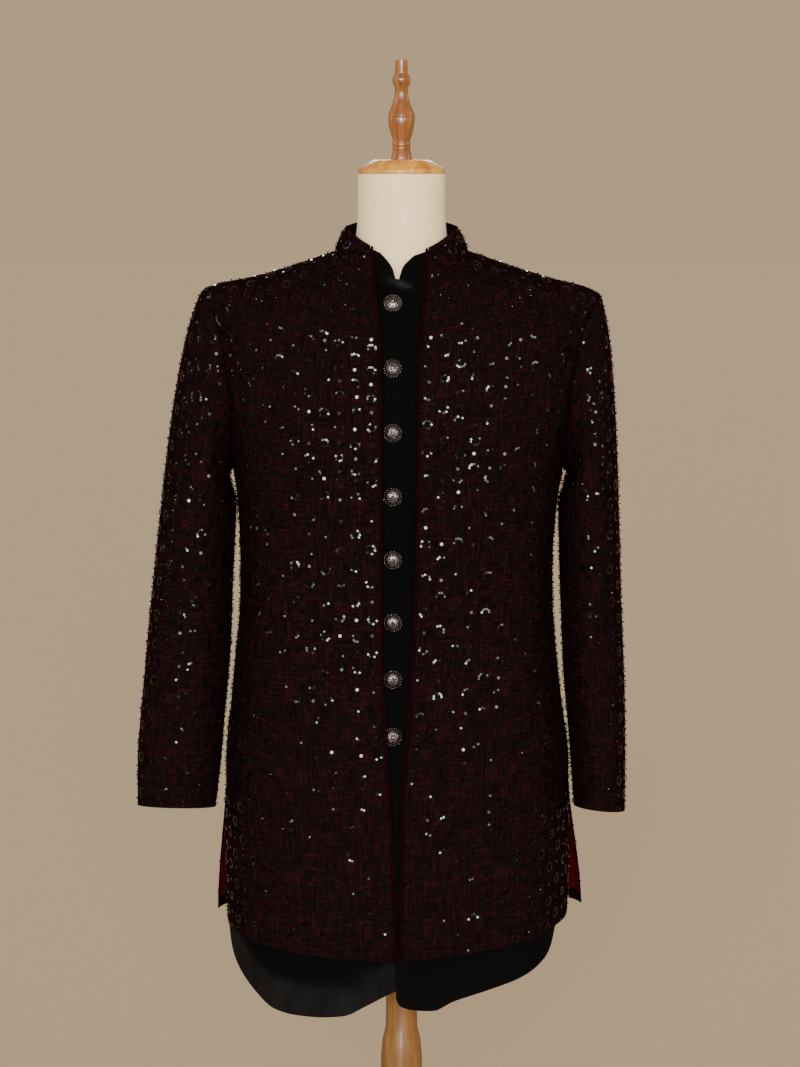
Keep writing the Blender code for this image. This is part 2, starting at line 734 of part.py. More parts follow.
def lining(side, name):
    """The lining that shows inside the back at the side slit, made from the back's own points."""
    lines = [back_skirt_half(side, step)[: LINING_COLUMNS + 1] for step in range(LINING_STEPS + 1)]
    lines[0] = [blend(low, high, LINING_HEM_SHARE) for low, high in zip(lines[0], lines[1])]
    faces = []
    for line in lines:
        line = [blend(line[0], line[1], LINING_EDGE_SHARE)] + line[1:]
        line = [(point - (COAT_WALL + 2 * SEAM_GAP) * normal, normal) for point, normal in line]
        faces.append(line[::side])
    return wall(name, *thicken(faces, LINING_WALL), "crimson_lining")


def sleeve_ring(side, place, turn):
    """A point of the lower sleeve. The turn is 0 outside, pi / 2 in front and pi next to the body."""
    cuff = Cuff(*(along(list(column), place) for column in zip(*SLEEVES[side])))
    return Vector(
        (
            side * (cuff.x + cuff.across * math.cos(turn)),
            cuff.y - cuff.deep * math.sin(turn),
            cuff.z + cuff.lift_out * math.cos(turn) + cuff.lift_front * math.sin(turn),
        )
    )


def armhole_point(side, turn):
    return coat_point(side, armhole_angle(turn), armhole_row(turn))


def armhole_start(side, turn):
    """Where the sleeve begins: a seam gap off the armhole's edge, with the body's normal there."""
    small = 0.02
    tangent = armhole_point(side, turn + small) - armhole_point(side, turn - small)
    normal = coat_normal(side, armhole_angle(turn), armhole_row(turn))
    away = (side * normal.cross(tangent)).normalized()
    return armhole_point(side, turn) + 1.3 * SEAM_GAP * away, normal, away


def sleeve_head_point(side, turn, share):
    """A point of the sleeve head, on a smooth curve from the armhole to the first lower ring."""
    start = armhole_start(side, turn)[0]
    end = sleeve_ring(side, 0, turn)
    reach = (end - start).length
    out, down = SLEEVE_SPRING[side]
    top = Vector((side * out, -0.06 * math.sin(turn), -down))
    low = Vector((side * 0.75, -0.35 * math.sin(turn), -0.65)).normalized() * reach
    leave = top.lerp(low, (1 - math.cos(turn)) / 2)
    arrive = (sleeve_ring(side, 0.1, turn) - end).normalized() * reach
    t = share
    return (
        (2 * t**3 - 3 * t**2 + 1) * start
        + (t**3 - 2 * t**2 + t) * leave
        + (3 * t**2 - 2 * t**3) * end
        + (t**3 - t**2) * arrive
    )


def sleeve_point(side, turn, place):
    """Place runs from 0 at the armhole to 1 under it, and on to the cuff."""
    if place < 1:
        return sleeve_head_point(side, turn, place)
    return sleeve_ring(side, place - 1, turn)


def sleeve_face(side, turn, place):
    """A point and outward normal of the sleeve. At the armhole the wall lies against the body's."""
    small = 0.03
    low = max(place - small, 0)
    cuff_place = len(SLEEVES[side])
    high = min(place + small, cuff_place)
    round_it = sleeve_point(side, turn + small, place) - sleeve_point(side, turn - small, place)
    along_it = sleeve_point(side, turn, high) - sleeve_point(side, turn, low)
    normal = (side * round_it.cross(along_it)).normalized()
    if place == 0:
        _, body_normal, away = armhole_start(side, turn)
        turned_in = ease(normal.dot(away) / 0.5)
        normal = normal.lerp(body_normal, turned_in).normalized()
    return sleeve_point(side, turn, place), normal


def sleeve_half(side, name, first, last):
    """A sleeve panel between two seams, given as steps round the armhole."""
    places = [step / SLEEVE_HEAD_STEPS for step in range(SLEEVE_HEAD_STEPS)]
    length = len(SLEEVES[side]) - 1
    places += [1 + length * step / SLEEVE_STEPS for step in range(SLEEVE_STEPS + 1)]
    gap = math.radians(0.18)
    faces = []
    for place in places:
        line = []
        for step in range(first, last + 1):
            turn = math.pi * step / ARMHOLE_STEPS
            turn += gap if step == first else -gap if step == last else 0.0
            line.append(sleeve_face(side, turn, place))
        faces.append(line)
    return wall(name, *thicken(faces, COAT_WALL), "sequin_cloth")


def turned(name, profile, segments, material_name):
    """A solid of revolution about the pole's axis, from a bottom-up profile of (radius, height)."""
    shape = bmesh.new()
    points = [(0.0, profile[0][1]), *profile, (0.0, profile[-1][1])]
    line = [shape.verts.new((radius, 0, z)) for radius, z in points]
    edges = [shape.edges.new(pair) for pair in zip(line, line[1:])]
    bmesh.ops.spin(
        shape,
        geom=line + edges,
        cent=(0, 0, 0),
        axis=(0, 0, 1),
        angle=2 * math.pi,
        steps=segments,
        use_merge=True,
    )
    bmesh.ops.remove_doubles(shape, verts=shape.verts, dist=1e-6)
    return finish(name, shape, material_name)


def dress_form():
    """The smooth torso and neck, closed flat at the hip and at the neck."""
    rings = []
    rows = [row_at(FORM_BOTTOM_Z)] + [float(r) for r in range(4, ARMPIT_ROW + 1)]
    rows += [ARMPIT_ROW + step for step in (1, 2, 3, 3.45, 3.89, 5, 6, 7)]
    turns = [2 * math.pi * k / FORM_COLUMNS for k in range(FORM_COLUMNS)]
    for row in rows:
        down = ease((TIP_ROW - row) / 2.5)
        depth = FORM_INSET_SHOULDER + (FORM_INSET_CHEST - FORM_INSET_SHOULDER) * down
        ring = []
        for turn in turns:
            side, angle = (1, turn) if turn <= math.pi else (-1, 2 * math.pi - turn)
            point = smooth_inset(side, angle, row, depth + underlap_drop(angle))
            if row == rows[0]:
                point.z = FORM_BOTTOM_Z
            ring.append(point)
        rings.append(ring)
    for section in FORM_NECK:
        ring = []
        for turn in turns:
            side, angle = (1, turn) if turn <= math.pi else (-1, 2 * math.pi - turn)
            ring.append(section_point(section, side, angle))
        rings.append(ring)
    shape = bmesh.new()
    grid = [[shape.verts.new(point) for point in ring] for ring in rings]
    for low, high in zip(grid, grid[1:]):
        for k in range(FORM_COLUMNS):
            n = (k + 1) % FORM_COLUMNS
            shape.faces.new((low[k], low[n], high[n]))
            shape.faces.new((low[k], high[n], high[k]))
    shape.faces.new(grid[0])
    shape.faces.new(grid[-1])
    return finish("dress_form", shape, "form_jersey")


def form_section(row):
    """The body's section with a smaller shoulder point, so that the coat's rests clear of it."""
    section = body_section(row)
    return section._replace(tip=FORM_TIP_SHARE * section.tip)


def smooth_inset(side, angle, row, depth):
    """A point inside the body surface, without the skirt's folds or the flare of the back."""
    small_angle, small_row = 0.01, 0.02
    section = form_section(row)
    above, below = form_section(row + small_row), form_section(row - small_row)
    round_it = section_point(section, side, angle + small_angle) - section_point(
        section, side, angle - small_angle
    )
    up_it = section_point(above, side, angle) - section_point(below, side, angle)
    normal = (side * round_it.cross(up_it)).normalized()
    lift = Vector((0, 0, shoulder_lift(side, angle, row)))
    return section_point(section, side, angle) + lift - depth * normal


def button(index, velvet):
    """A domed metal button, seated on the velvet's overlap."""
    low_ones = max(0, index - (BUTTON_COUNT - 1 - LOW_BUTTONS))
    z = BUTTON_TOP_Z - BUTTON_PITCH * (index - low_ones) - LOW_BUTTON_PITCH * low_ones
    seat, normal, _, _ = velvet.ray_cast(Vector((BUTTON_X, -1, z)), Vector((0, 1, 0)))
    points = [(BUTTON_RADIUS * share, height) for share, height in BUTTON_PROFILE]
    made = turned(f"button_{index + 1}", points, BUTTON_SEGMENTS, "gunmetal")
    made.data.transform(normal.to_track_quat("Z", "Y").to_matrix().to_4x4())
    made.location = seat + 1.5 * SEAM_GAP * normal


def clear_scene():
    for found in list(bpy.data.objects):
        bpy.data.objects.remove(found)


def build():
    clear_scene()
    turned("stand_base", BASE_PROFILE, 32, "light_beech")
    turned("stand_pole", POLE_PROFILE, 20, "light_beech")
    dress_form()
    turned("neck_cap", CAP_PROFILE, 28, "light_beech")
    turned("finial", FINIAL_PROFILE, 16, "brown_beech")
    velvet_front(-1, "velvet_front_right")
    overlap = velvet_front(1, "velvet_front_left")
    collar(
        "velvet_collar",
        VELVET_COLLAR_END,
        VELVET_COLLAR_INSET,
        VELVET_WALL,
        "velvet",
        0.0,
        VELVET_COLLAR_CORNER,
    )
    velvet = BVHTree.FromPolygons(
        [vertex.co for vertex in overlap.data.vertices], [face.vertices for face in overlap.data.polygons]
    )
    for index in range(BUTTON_COUNT):
        button(index, velvet)
    for side, hand in ((-1, "right"), (1, "left")):
        coat_front(side, f"coat_front_{hand}")
        piping(side, f"piping_{hand}")
        lining(side, f"slit_lining_{hand}")
        seam_front, seam_back = SLEEVE_SEAM_FRONT, SLEEVE_SEAM_BACK
        around = 2 * ARMHOLE_STEPS
        sleeve_half(side, f"upper_sleeve_{hand}", seam_back - around, seam_front)
        sleeve_half(side, f"under_sleeve_{hand}", seam_front, seam_back)
    coat_back()
    collar(
        "coat_collar",
        COAT_COLLAR_END,
        0.0,
        COAT_WALL,
        "sequin_cloth",
        PIPING_WIDTH + 2.6 * SEAM_GAP,
    )


build()
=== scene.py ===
"""The finished look of a sequinned sherwani coat with its buttoned velvet front, on a dress form and stand.

The front faces -Y, the wearer's left is +X, the floor is z = 0, and lengths are in metres. Cloth is made as
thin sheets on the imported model's own body surface, sewn with sequins in real rows.
"""

from __future__ import annotations

import logging
import math
from collections.abc import Callable
from dataclasses import dataclass, field, replace
from enum import Enum
from functools import partial

import bmesh
import bpy
import numpy as np
from mathutils import Matrix, Vector


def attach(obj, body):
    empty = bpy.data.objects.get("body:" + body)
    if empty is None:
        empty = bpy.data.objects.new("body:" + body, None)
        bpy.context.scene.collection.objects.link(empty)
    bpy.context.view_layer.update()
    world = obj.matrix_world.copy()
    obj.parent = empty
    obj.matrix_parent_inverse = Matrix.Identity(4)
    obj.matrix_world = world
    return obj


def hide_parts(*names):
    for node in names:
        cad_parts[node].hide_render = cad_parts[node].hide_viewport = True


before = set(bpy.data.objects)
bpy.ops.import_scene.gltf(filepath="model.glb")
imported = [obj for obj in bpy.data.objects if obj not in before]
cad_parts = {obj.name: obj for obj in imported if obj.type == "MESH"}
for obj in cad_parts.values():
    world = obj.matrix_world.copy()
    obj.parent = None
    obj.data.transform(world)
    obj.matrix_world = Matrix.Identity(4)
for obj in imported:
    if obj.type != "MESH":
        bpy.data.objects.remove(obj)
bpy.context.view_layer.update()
LOG = logging.getLogger("sherwani")
Array = np.ndarray
Socket = bpy.types.NodeSocket
Shape = bmesh.types.BMesh

# How far off a surface's facing is measured, in angle and in rows
ANGLE_STEP = 0.01
ROW_STEP = 0.02
# Points closer than this are one point
SAME_PLACE = 1e-6


class Hand(Enum):
    """A side of the wearer, as the sign of its x."""

    RIGHT = -1
    LEFT = 1

    @property
    def word(self) -> str:
        """The side as it stands in a node's name."""
        return self.name.lower()


def linear(hex_colour: str) -> tuple[float, float, float, float]:
    """An sRGB hex colour as the linear colour that a shader takes.

    Args:
        hex_colour: Six hex digits.

    Returns:
        Red, green, blue and an alpha of one.
    """
    parts = [int(hex_colour[i : i + 2], 16) / 255 for i in (0, 2, 4)]
    mixed = [c / 12.92 if c <= 0.04045 else ((c + 0.055) / 1.055) ** 2.4 for c in parts]
    return (*mixed, 1.0)


def ease(value: Array) -> Array:
    """0 to 1 with level ends."""
    value = np.clip(value, 0.0, 1.0)
    return value * value * (3 - 2 * value)


def hermite(t: Array, start: Array, leave: Array, end: Array, arrive: Array) -> Array:
    """A smooth way from start to end at a share t, with the slopes that it leaves and arrives with."""
    return (
        (2 * t**3 - 3 * t**2 + 1) * start
        + (t**3 - 2 * t**2 + t) * leave
        + (3 * t**2 - 2 * t**3) * end
        + (t**3 - t**2) * arrive
    )


def unit(vectors: Array, least: float = 0.0) -> Array:
    """Vectors of length one, where shorter ones than the least keep their share of it."""
    return vectors / np.maximum(np.linalg.norm(vectors, axis=-1, keepdims=True), least)


def facing(
    surface: Callable[[Array, Array], Array],
    side: int,
    angle: Array,
    rows: tuple[Array, Array, Array],
) -> Array:
    """Outward normals of a surface, from points close round each place.

    Args:
        surface: Gives points from angles and rows.
        side: The wearer's side.
        angle: The places' angles from the centre front.
        rows: A little lower, the places' own rows, and a little higher.

    Returns:
        Unit normals.
    """
    low, here, high = rows
    round_it = surface(angle + ANGLE_STEP, here) - surface(angle - ANGLE_STEP, here)
    return unit(side * np.cross(round_it, surface(angle, high) - surface(angle, low)))


class Curve:
    """A smooth curve through listed values that never overshoots them."""

    # Enough halvings to find an index to the last digit
    HALVINGS = 34

    def __init__(self, values: list[float]) -> None:
        """Stores the values and the slope at each of them."""
        self.values = np.asarray(values, float)
        steps = np.diff(self.values)
        before, after = steps[:-1], steps[1:]
        total = np.where(np.abs(before + after) < 1e-12, 1.0, before + after)
        inner = np.where(before * after > 0, 2 * before * after / total, 0.0)
        self.slopes = np.concatenate([steps[:1], inner, steps[-1:]])

    def at(self, position: Array) -> Array:
        """The value at each fractional index, kept within the list."""
        position = np.clip(position, 0.0, len(self.values) - 1.0)
        low = np.minimum(position.astype(int), len(self.values) - 2)
        ends = self.values[low], self.slopes[low], self.values[low + 1], self.slopes[low + 1]
        return hermite(position - low, *ends)

    def index_of(self, wanted: Array) -> Array:
        """The fractional index at which a rising curve reaches the wanted value."""
        wanted = np.asarray(wanted, float)
        low = np.zeros_like(wanted)
        high = np.full_like(wanted, len(self.values) - 1.0)
        for _ in range(self.HALVINGS):
            middle = (low + high) / 2
            under = self.at(middle) < wanted
            low = np.where(under, middle, low)
            high = np.where(under, high, middle)
        return (low + high) / 2


class Table:
    """Rows of numbers read along smooth curves."""

    def __init__(self, rows: list[tuple[float, ...]]) -> None:
        """Makes one curve of each column."""
        self.columns = [Curve(list(column)) for column in zip(*rows)]

    def at(self, position: Array) -> Array:
        """Every column at a fractional row, stacked on the last axis."""
        return np.stack([curve.at(position) for curve in self.columns], axis=-1)

    def read(self, wanted: Array, column: int = 1) -> Array:
        """A column's value where the first column has the wanted one."""
        return self.columns[column].at(self.columns[0].index_of(wanted))


def normals_of(points: Array) -> Array:
    """Unit normals of rows by columns of points, to the side of column direction cross row direction."""
    return unit(np.cross(np.gradient(points, axis=1), np.gradient(points, axis=0)), 1e-12)


@dataclass
class ClothGrid:
    """A sheet's outer face as rows of points, with the flat place of each on the uncreased cloth."""

    points: Array
    flat: Array
    outward: Array

    # How far along its row the cloth's direction is measured, and the least length that counts
    NEAR = 0.001
    LEAST = 1e-9

    @classmethod
    def from_points(cls, points: Array, outward_sign: float, middle: float = 0.0) -> ClothGrid:
        """A grid with its flat places measured along its own rows.

        Args:
            points: Rows by columns by three.
            outward_sign: One if the grid's own normals face out, minus one if they face in.
            middle: The share of a row from which its flat places are counted.

        Returns:
            The finished grid.
        """
        steps = np.linalg.norm(np.diff(points, axis=1), axis=-1)
        around = np.concatenate([np.zeros((len(points), 1)), np.cumsum(steps, axis=1)], axis=1)
        column = round(middle * (points.shape[1] - 1))
        around = around - around[:, column : column + 1]
        rise = np.linalg.norm(np.diff(points, axis=0), axis=-1).mean(axis=1)
        upward = np.concatenate([[0.0], np.cumsum(rise)])
        flat = np.stack([around, np.broadcast_to(upward[:, None], around.shape)], axis=-1)
        return cls(points, flat, outward_sign * normals_of(points))

    def place(self, across: Array, up: Array) -> tuple[Array, ...]:
        """Points of the hung sheet from flat places on it.

        Args:
            across: Flat places along the rows, in metres.
            up: Flat places up the sheet, in metres.

        Returns:
            The points, their outward normals, the direction of the row at each, and whether each is on the
            sheet.
        """
        heights = self.flat[:, 0, 1]
        rows = np.interp(up, heights, np.arange(len(heights)))
        low = np.minimum(rows.astype(int), len(heights) - 2)
        share = rows - low
        here, out, beside = (np.zeros((len(across), 3)) for _ in range(3))
        inside = (up >= heights[0]) & (up <= heights[-1])
        columns = np.arange(self.points.shape[1])
        for row in np.unique(low):
            chosen = np.flatnonzero(low == row)
            for line, weight in ((row, 1 - share[chosen]), (row + 1, share[chosen])):
                flat = self.flat[line, :, 0]
                at = np.interp(across[chosen], flat, columns)
                near = np.interp(across[chosen] + self.NEAR, flat, columns)
                inside[chosen] &= (across[chosen] > flat[0]) & (across[chosen] < flat[-1])
                for axis in range(3):
                    value = np.interp(at, columns, self.points[line, :, axis])
                    ahead = np.interp(near, columns, self.points[line, :, axis])
                    here[chosen, axis] += weight * value
                    beside[chosen, axis] += weight * (ahead - value)
                    out[chosen, axis] += weight * np.interp(at, columns, self.outward[line, :, axis])
        return here, unit(out, self.LEAST), unit(beside, self.LEAST), inside


def add_node(
    tree: bpy.types.NodeTree, kind: str, values: dict | None = None, **settings: object
) -> bpy.types.Node:
    """A shader node with its settings and its unlinked values.

    Args:
        tree: The node tree.
        kind: The node's type, such as ShaderNodeTexNoise.
        values: Socket name to a value, or to the output socket that feeds it.
        settings: The node's own properties.

    Returns:
        The new node.
    """
    node = tree.nodes.new(kind)
    for name, value in settings.items():
        setattr(node, name, value)
    for name, value in (values or {}).items():
        socket = node.inputs[name]
        if isinstance(value, Socket):
            tree.links.new(value, socket)
        else:
            socket.default_value = value
    return node


class Surface:
    """A new material's node tree and shader, with the few moves that the finishes share."""

    def __init__(self, material: bpy.types.Material) -> None:
        """Takes the material's own tree and shader."""
        material.use_nodes = True
        self.tree = material.node_tree
        self.shader = self.tree.nodes["Principled BSDF"]

    def set(self, values: dict[str, object]) -> None:
        """Sets plain values on the shader's own sockets."""
        for name, value in values.items():
            self.shader.inputs[name].default_value = value

    def scaled(self, at: Socket, scale: tuple[float, float, float]) -> Socket:
        """Coordinates multiplied along each axis."""
        return add_node(self.tree, "ShaderNodeMapping", {"Vector": at, "Scale": scale}).outputs["Vector"]

    def cloth_places(self, across: float, up: float) -> Socket:
        """The sheet's flat places, which its UV map holds in metres, scaled along and up the cloth."""
        places = add_node(self.tree, "ShaderNodeUVMap", uv_map="flat").outputs["UV"]
        return self.scaled(places, (across, up, 1.0))

    def own_places(self) -> Socket:
        """The piece's own coordinates in metres."""
        return add_node(self.tree, "ShaderNodeTexCoord").outputs["Object"]

    def noise(
        self,
        at: Socket,
        detail: float = 2.0,
        roughness: float = 0.5,
        distortion: float = 0.0,
        scale: float = 1.0,
    ) -> Socket:
        """Soft noise over coordinates."""
        values = {"Vector": at, "Scale": scale, "Detail": detail, "Roughness": roughness}
        values["Distortion"] = distortion
        return add_node(self.tree, "ShaderNodeTexNoise", values).outputs["Fac"]

    def together(self, operation: str, first: Socket, second: Socket) -> Socket:
        """Two values taken together."""
        return add_node(self.tree, "ShaderNodeMath", {0: first, 1: second}, operation=operation).outputs[0]

    def dye(self, fed_by: Socket, stops: list[tuple[float, str]]) -> None:
        """Colours the shader by a ramp between sRGB hex stops."""
        node = add_node(self.tree, "ShaderNodeValToRGB", {"Fac": fed_by})
        elements = node.color_ramp.elements
        while len(elements) < len(stops):
            elements.new(0.5)
        for element, (position, colour) in zip(elements, stops):
            element.position = position
            element.color = linear(colour)
        self.tree.links.new(node.outputs["Color"], self.shader.inputs["Base Color"])

    def emboss(self, height: Socket, strength: float, distance: float, invert: bool = False) -> None:
        """Gives the shader a relief, its full height in metres."""
        values = {"Height": height, "Strength": strength, "Distance": distance}
        node = add_node(self.tree, "ShaderNodeBump", values, invert=invert)
        self.tree.links.new(node.outputs["Normal"], self.shader.inputs["Normal"])


@dataclass(frozen=True)
class Finish:
    """A surface finish. Subclasses lay the detail over these plain values."""

    name: str
    colour: str
    roughness: float = 0.5
    metallic: float = 0.0

    def material(self) -> bpy.types.Material:
        """The material, made on first use."""
        found = bpy.data.materials.get(self.name)
        if found:
            return found
        made = bpy.data.materials.new(self.name)
        on = Surface(made)
        on.set({"Base Color": linear(self.colour), "Roughness": self.roughness, "Metallic": self.metallic})
        self.detail(on)
        return made

    def detail(self, on: Surface) -> None:
        """Adds the finish's own pattern. The plain finish has none."""


@dataclass(frozen=True)
class SequinCloth(Finish):
    """Near-black silk blend: fine uneven threads of wine red, watered in short level waves."""

    def detail(self, on: Surface) -> None:
        """Adds the drawn-out threads, the watered waves and the weave's relief."""
        threads = on.noise(on.cloth_places(330.0, 42.0), detail=3.0, roughness=0.6)
        # Short level ripples about 4 mm apart, as where the silk was watered
        waves = on.noise(on.cloth_places(70.0, 320.0), detail=3.0, distortion=1.2)
        patches = on.noise(on.cloth_places(26.0, 15.0))
        values = {"Factor": patches, "A": threads, "B": waves}
        mixed = add_node(on.tree, "ShaderNodeMix", values).outputs["Result"]
        on.dye(mixed, [(0.36, "070606"), (0.47, "0e0808"), (0.56, "190a0b"), (0.70, "2e0c0f")])
        # The weave is about 1 mm here, coarser than the real 0.3 mm, so that a pixel can hold it
        weave = on.noise(on.cloth_places(900.0, 900.0))
        on.emboss(on.together("ADD", weave, mixed), 0.4, 0.0006)
        on.set({"Specular IOR Level": 0.0, "Sheen Weight": 0.005, "Sheen Roughness": 0.35})
        on.set({"Sheen Tint": linear("a33a44")})


@dataclass(frozen=True)
class Velvet(Finish):
    """Black cotton velvet: a deep pile, lightened to grey by a painted highlight where its own attribute
    says.
    """

    def detail(self, on: Surface) -> None:
        """Adds the nap, lightened by the painted highlight, its sheen and the pile's fine relief."""
        nap = on.noise(on.cloth_places(24.0, 12.0), detail=4.0, roughness=0.55)
        # The painted highlight, read from the sheet's attribute, turns the nap from black towards grey
        painted_highlight = add_node(on.tree, "ShaderNodeAttribute", attribute_name="painted_highlight").outputs["Fac"]
        stops = [(0.02, "030303"), (0.12, "070606"), (0.45, "1c1b1a"), (0.75, "2e2c2a")]
        on.dye(on.together("MULTIPLY", nap, painted_highlight), stops)
        on.emboss(on.noise(on.cloth_places(1400.0, 1400.0), detail=1.0), 0.3, 0.0005)
        on.set({"Specular IOR Level": 0.04, "Sheen Weight": 0.035, "Sheen Roughness": 0.3})
        on.set({"Sheen Tint": linear("8a8284")})


@dataclass(frozen=True)
class Satin(Finish):
    """Silk satin: a close smooth face whose float threads streak the light."""

    shade: str = "110205"

    def detail(self, on: Surface) -> None:
        """Adds uneven dyeing along the threads and their fine ribs."""
        streaks = on.noise(on.cloth_places(500.0, 40.0), detail=3.0)
        on.dye(streaks, [(0.3, self.shade), (0.7, self.colour)])
        on.emboss(streaks, 0.25, 0.0004)
        on.set({"Specular IOR Level": 0.0})


@dataclass(frozen=True)
class Sequin(Finish):
    """Black glazed sequins and beads: dark, but for a white flash where one faces a light."""

    def detail(self, on: Surface) -> None:
        """Adds a hint of colour in the glaze from one disc to the next."""
        on.dye(on.noise(on.own_places(), detail=0.0, scale=320.0), [(0.35, "030203"), (0.65, "080304")])
        on.set({"Specular IOR Level": 0.22})


@dataclass(frozen=True)
class Gunmetal(Finish):
    """Antique gunmetal: dark in the hollows of its filigree and rubbed bright on top."""

    def detail(self, on: Surface) -> None:
        """Adds filigree cells as relief and darkens their hollows."""
        values = {"Vector": on.own_places(), "Scale": 420.0}
        cells = add_node(on.tree, "ShaderNodeTexVoronoi", values, feature="DISTANCE_TO_EDGE")
        cells = cells.outputs["Distance"]
        on.dye(cells, [(0.02, "7c7375"), (0.16, "4a4245"), (0.4, "151213")])
        on.emboss(cells, 0.8, 0.0006, invert=True)


@dataclass(frozen=True)
class Jersey(Finish):
    """Cream cotton jersey stretched over the form: fine upright knit ribs, a little grubby."""

    def detail(self, on: Surface) -> None:
        """Adds the knit's ribs, slow soiling and a soft nap."""
        soil = on.noise(on.cloth_places(22.0, 14.0), detail=3.0)
        on.dye(soil, [(0.25, "dfc496"), (0.55, "e7cea2"), (0.8, "eed9b2")])
        # Ribs 1.6 mm apart, drawn coarser than the real 1 mm
        values = {"Vector": on.cloth_places(31.0, 4.0), "Scale": 20.0, "Distortion": 1.2, "Detail": 1.0}
        on.emboss(add_node(on.tree, "ShaderNodeTexWave", values).outputs["Fac"], 0.12, 0.0005)
        on.set({"Sheen Weight": 0.15})


@dataclass(frozen=True)
class TurnedWood(Finish):
    """Lacquered beech turned on a lathe: long grain up the piece and short flecks in it."""

    grain: tuple[float, float, float] = (60.0, 60.0, 5.0)
    light: str = "d29c4c"
    dark: str = "986426"
    coat: float = 0.12
    gloss: float = 0.25

    # How much finer the flecks are than the grain
    FLECKS = 14

    def detail(self, on: Surface) -> None:
        """Adds the grain's streaks, its short flecks and the lacquer."""
        at = on.own_places()
        streaks = on.noise(on.scaled(at, self.grain), detail=5.0, distortion=1.1)
        on.dye(streaks, [(0.3, self.dark), (0.5, self.colour), (0.72, self.light)])
        pores = on.noise(on.scaled(at, tuple(self.FLECKS * size for size in self.grain)))
        on.emboss(pores, 0.08, 0.0004)
        on.set({"Coat Weight": self.coat, "Coat Roughness": 0.18, "Specular IOR Level": self.gloss})


@dataclass(frozen=True)
class MattPaint(Finish):
    """Dead flat studio paint: it mirrors nothing, so that the floor runs on into the sky."""

    def detail(self, on: Surface) -> None:
        """Takes the gloss away."""
        on.set({"Specular IOR Level": 0.0})


GUNMETAL = Gunmetal("gunmetal_finish", "8c8486", 0.32, 1.0)
JERSEY = Jersey("form_jersey_finish", "decfb7", 0.9)
GLAZE = Sequin("glazed_sequin", "070506", 0.10)
CAP_BEECH = TurnedWood("cap_beech_finish", "bf8434", 0.5)
# The cap's beech painted darker, for the shade that falls on the pole below the coat
SHADED_POLE_BEECH = TurnedWood("shaded_pole_beech_finish", "6f4a22", 0.5, light="815a2c", dark="543617")
# The base's grain lies level
BASE_BEECH = TurnedWood(
    "base_beech_finish",
    "7c582c",
    0.7,
    grain=(5.0, 60.0, 60.0),
    light="8c6838",
    dark="64451f",
    coat=0.0,
    gloss=0.0,
)
RED_BEECH = TurnedWood("red_beech_finish", "7c4c23", 0.34, light="8f6033", dark="573018", coat=0.5)


def put_in_scene(name: str, shape: Shape, finish: Finish, smooth: bool = True) -> bpy.types.Object:
    """A bmesh made into an object of the scene, with its finish.

    Args:
        name: The piece's name.
        shape: The bmesh, which is freed.
        finish: What it is made of.
        smooth: Whether its faces are shaded smooth, but for edges over 50 degrees.

    Returns:
        The object.
    """
    mesh = bpy.data.meshes.new(name)
    shape.to_mesh(mesh)
    shape.free()
    mesh.materials.append(finish.material())
    if smooth:
        mesh.shade_smooth()
        mesh.set_sharp_from_angle(angle=math.radians(50))
    piece = bpy.data.objects.new(name, mesh)
    bpy.context.scene.collection.objects.link(piece)
    return piece


def stand_for(piece: bpy.types.Object, node: str, slot: str) -> None:
    """Hangs a piece on the root and hides the CAD node that it stands for."""
    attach(piece, "root")
    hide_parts(node)


def turned(profile: list[tuple[float, float]], steps: int) -> Shape:
    """A solid spun about the Z axis from its profile of radius and height, which begins and ends on it."""
    shape = bmesh.new()
    line = [shape.verts.new((radius, 0, z)) for radius, z in profile]
    edges = [shape.edges.new(pair) for pair in zip(line, line[1:])]
    whole = {"cent": (0, 0, 0), "axis": (0, 0, 1), "angle": 2 * math.pi, "use_merge": True}
    bmesh.ops.spin(shape, geom=line + edges, steps=steps, **whole)
    bmesh.ops.remove_doubles(shape, verts=shape.verts, dist=SAME_PLACE)
    bmesh.ops.recalc_face_normals(shape, faces=shape.faces)
    return shape


def sheet_shape(grid: ClothGrid, closed: bool = False) -> Shape:
    """A plane grid laid over the cloth's points, with a UV map of flat places.

    Args:
        grid: The sheet's points.
        closed: Whether the last column is the first one again.

    Returns:
        The bmesh, its faces turned outwards.
    """
    rows, columns = grid.points.shape[:2]
    shape = bmesh.new()
    bmesh.ops.create_grid(shape, x_segments=columns - 1, y_segments=rows - 1, size=0.5)
    flat = shape.loops.layers.uv.new("flat")
    where = {
        vert: (round((vert.co.y + 0.5) * (rows - 1)), round((vert.co.x + 0.5) * (columns - 1)))
        for vert in shape.verts
    }
    for face in shape.faces:
        for loop in face.loops:
            loop[flat].uv = grid.flat[where[loop.vert]]
    for vert, at in where.items():
        vert.co = grid.points[at]
    shape.normal_update()
    seen = sum(face.normal.dot(Vector(grid.outward[where[face.verts[0]]])) for face in shape.faces)
    if seen < 0:
        bmesh.ops.reverse_faces(shape, faces=shape.faces)
    if closed:
        bmesh.ops.remove_doubles(shape, verts=shape.verts, dist=SAME_PLACE)
    return shape


@dataclass(frozen=True)
class Cloth:
    """A cloth to cut sheets from: its finish, the record's slot and its thickness."""

    finish: Finish
    slot: str
    wall: float = 0.0012

    # How strongly the broad faces lead the shading
    EVENNESS = 80

    def hang(self, name: str, grid: ClothGrid, node: str) -> bpy.types.Object:
        """A thin sheet of it in place of a CAD node.

        Args:
            name: The piece's name.
            grid: Its outer face. The thickness goes to the inside.
            node: The CAD node that it stands for.

        Returns:
            The sheet.
        """
        piece = put_in_scene(name, sheet_shape(grid), self.finish)
        skin = piece.modifiers.new("thickness", "SOLIDIFY")
        skin.thickness = self.wall
        skin.offset = -1.0
        # Keeps the broad faces flat in shading right up to the cut edges
        shaded = piece.modifiers.new("even shading", "WEIGHTED_NORMAL")
        shaded.weight = self.EVENNESS
        stand_for(piece, node, self.slot)
        return piece


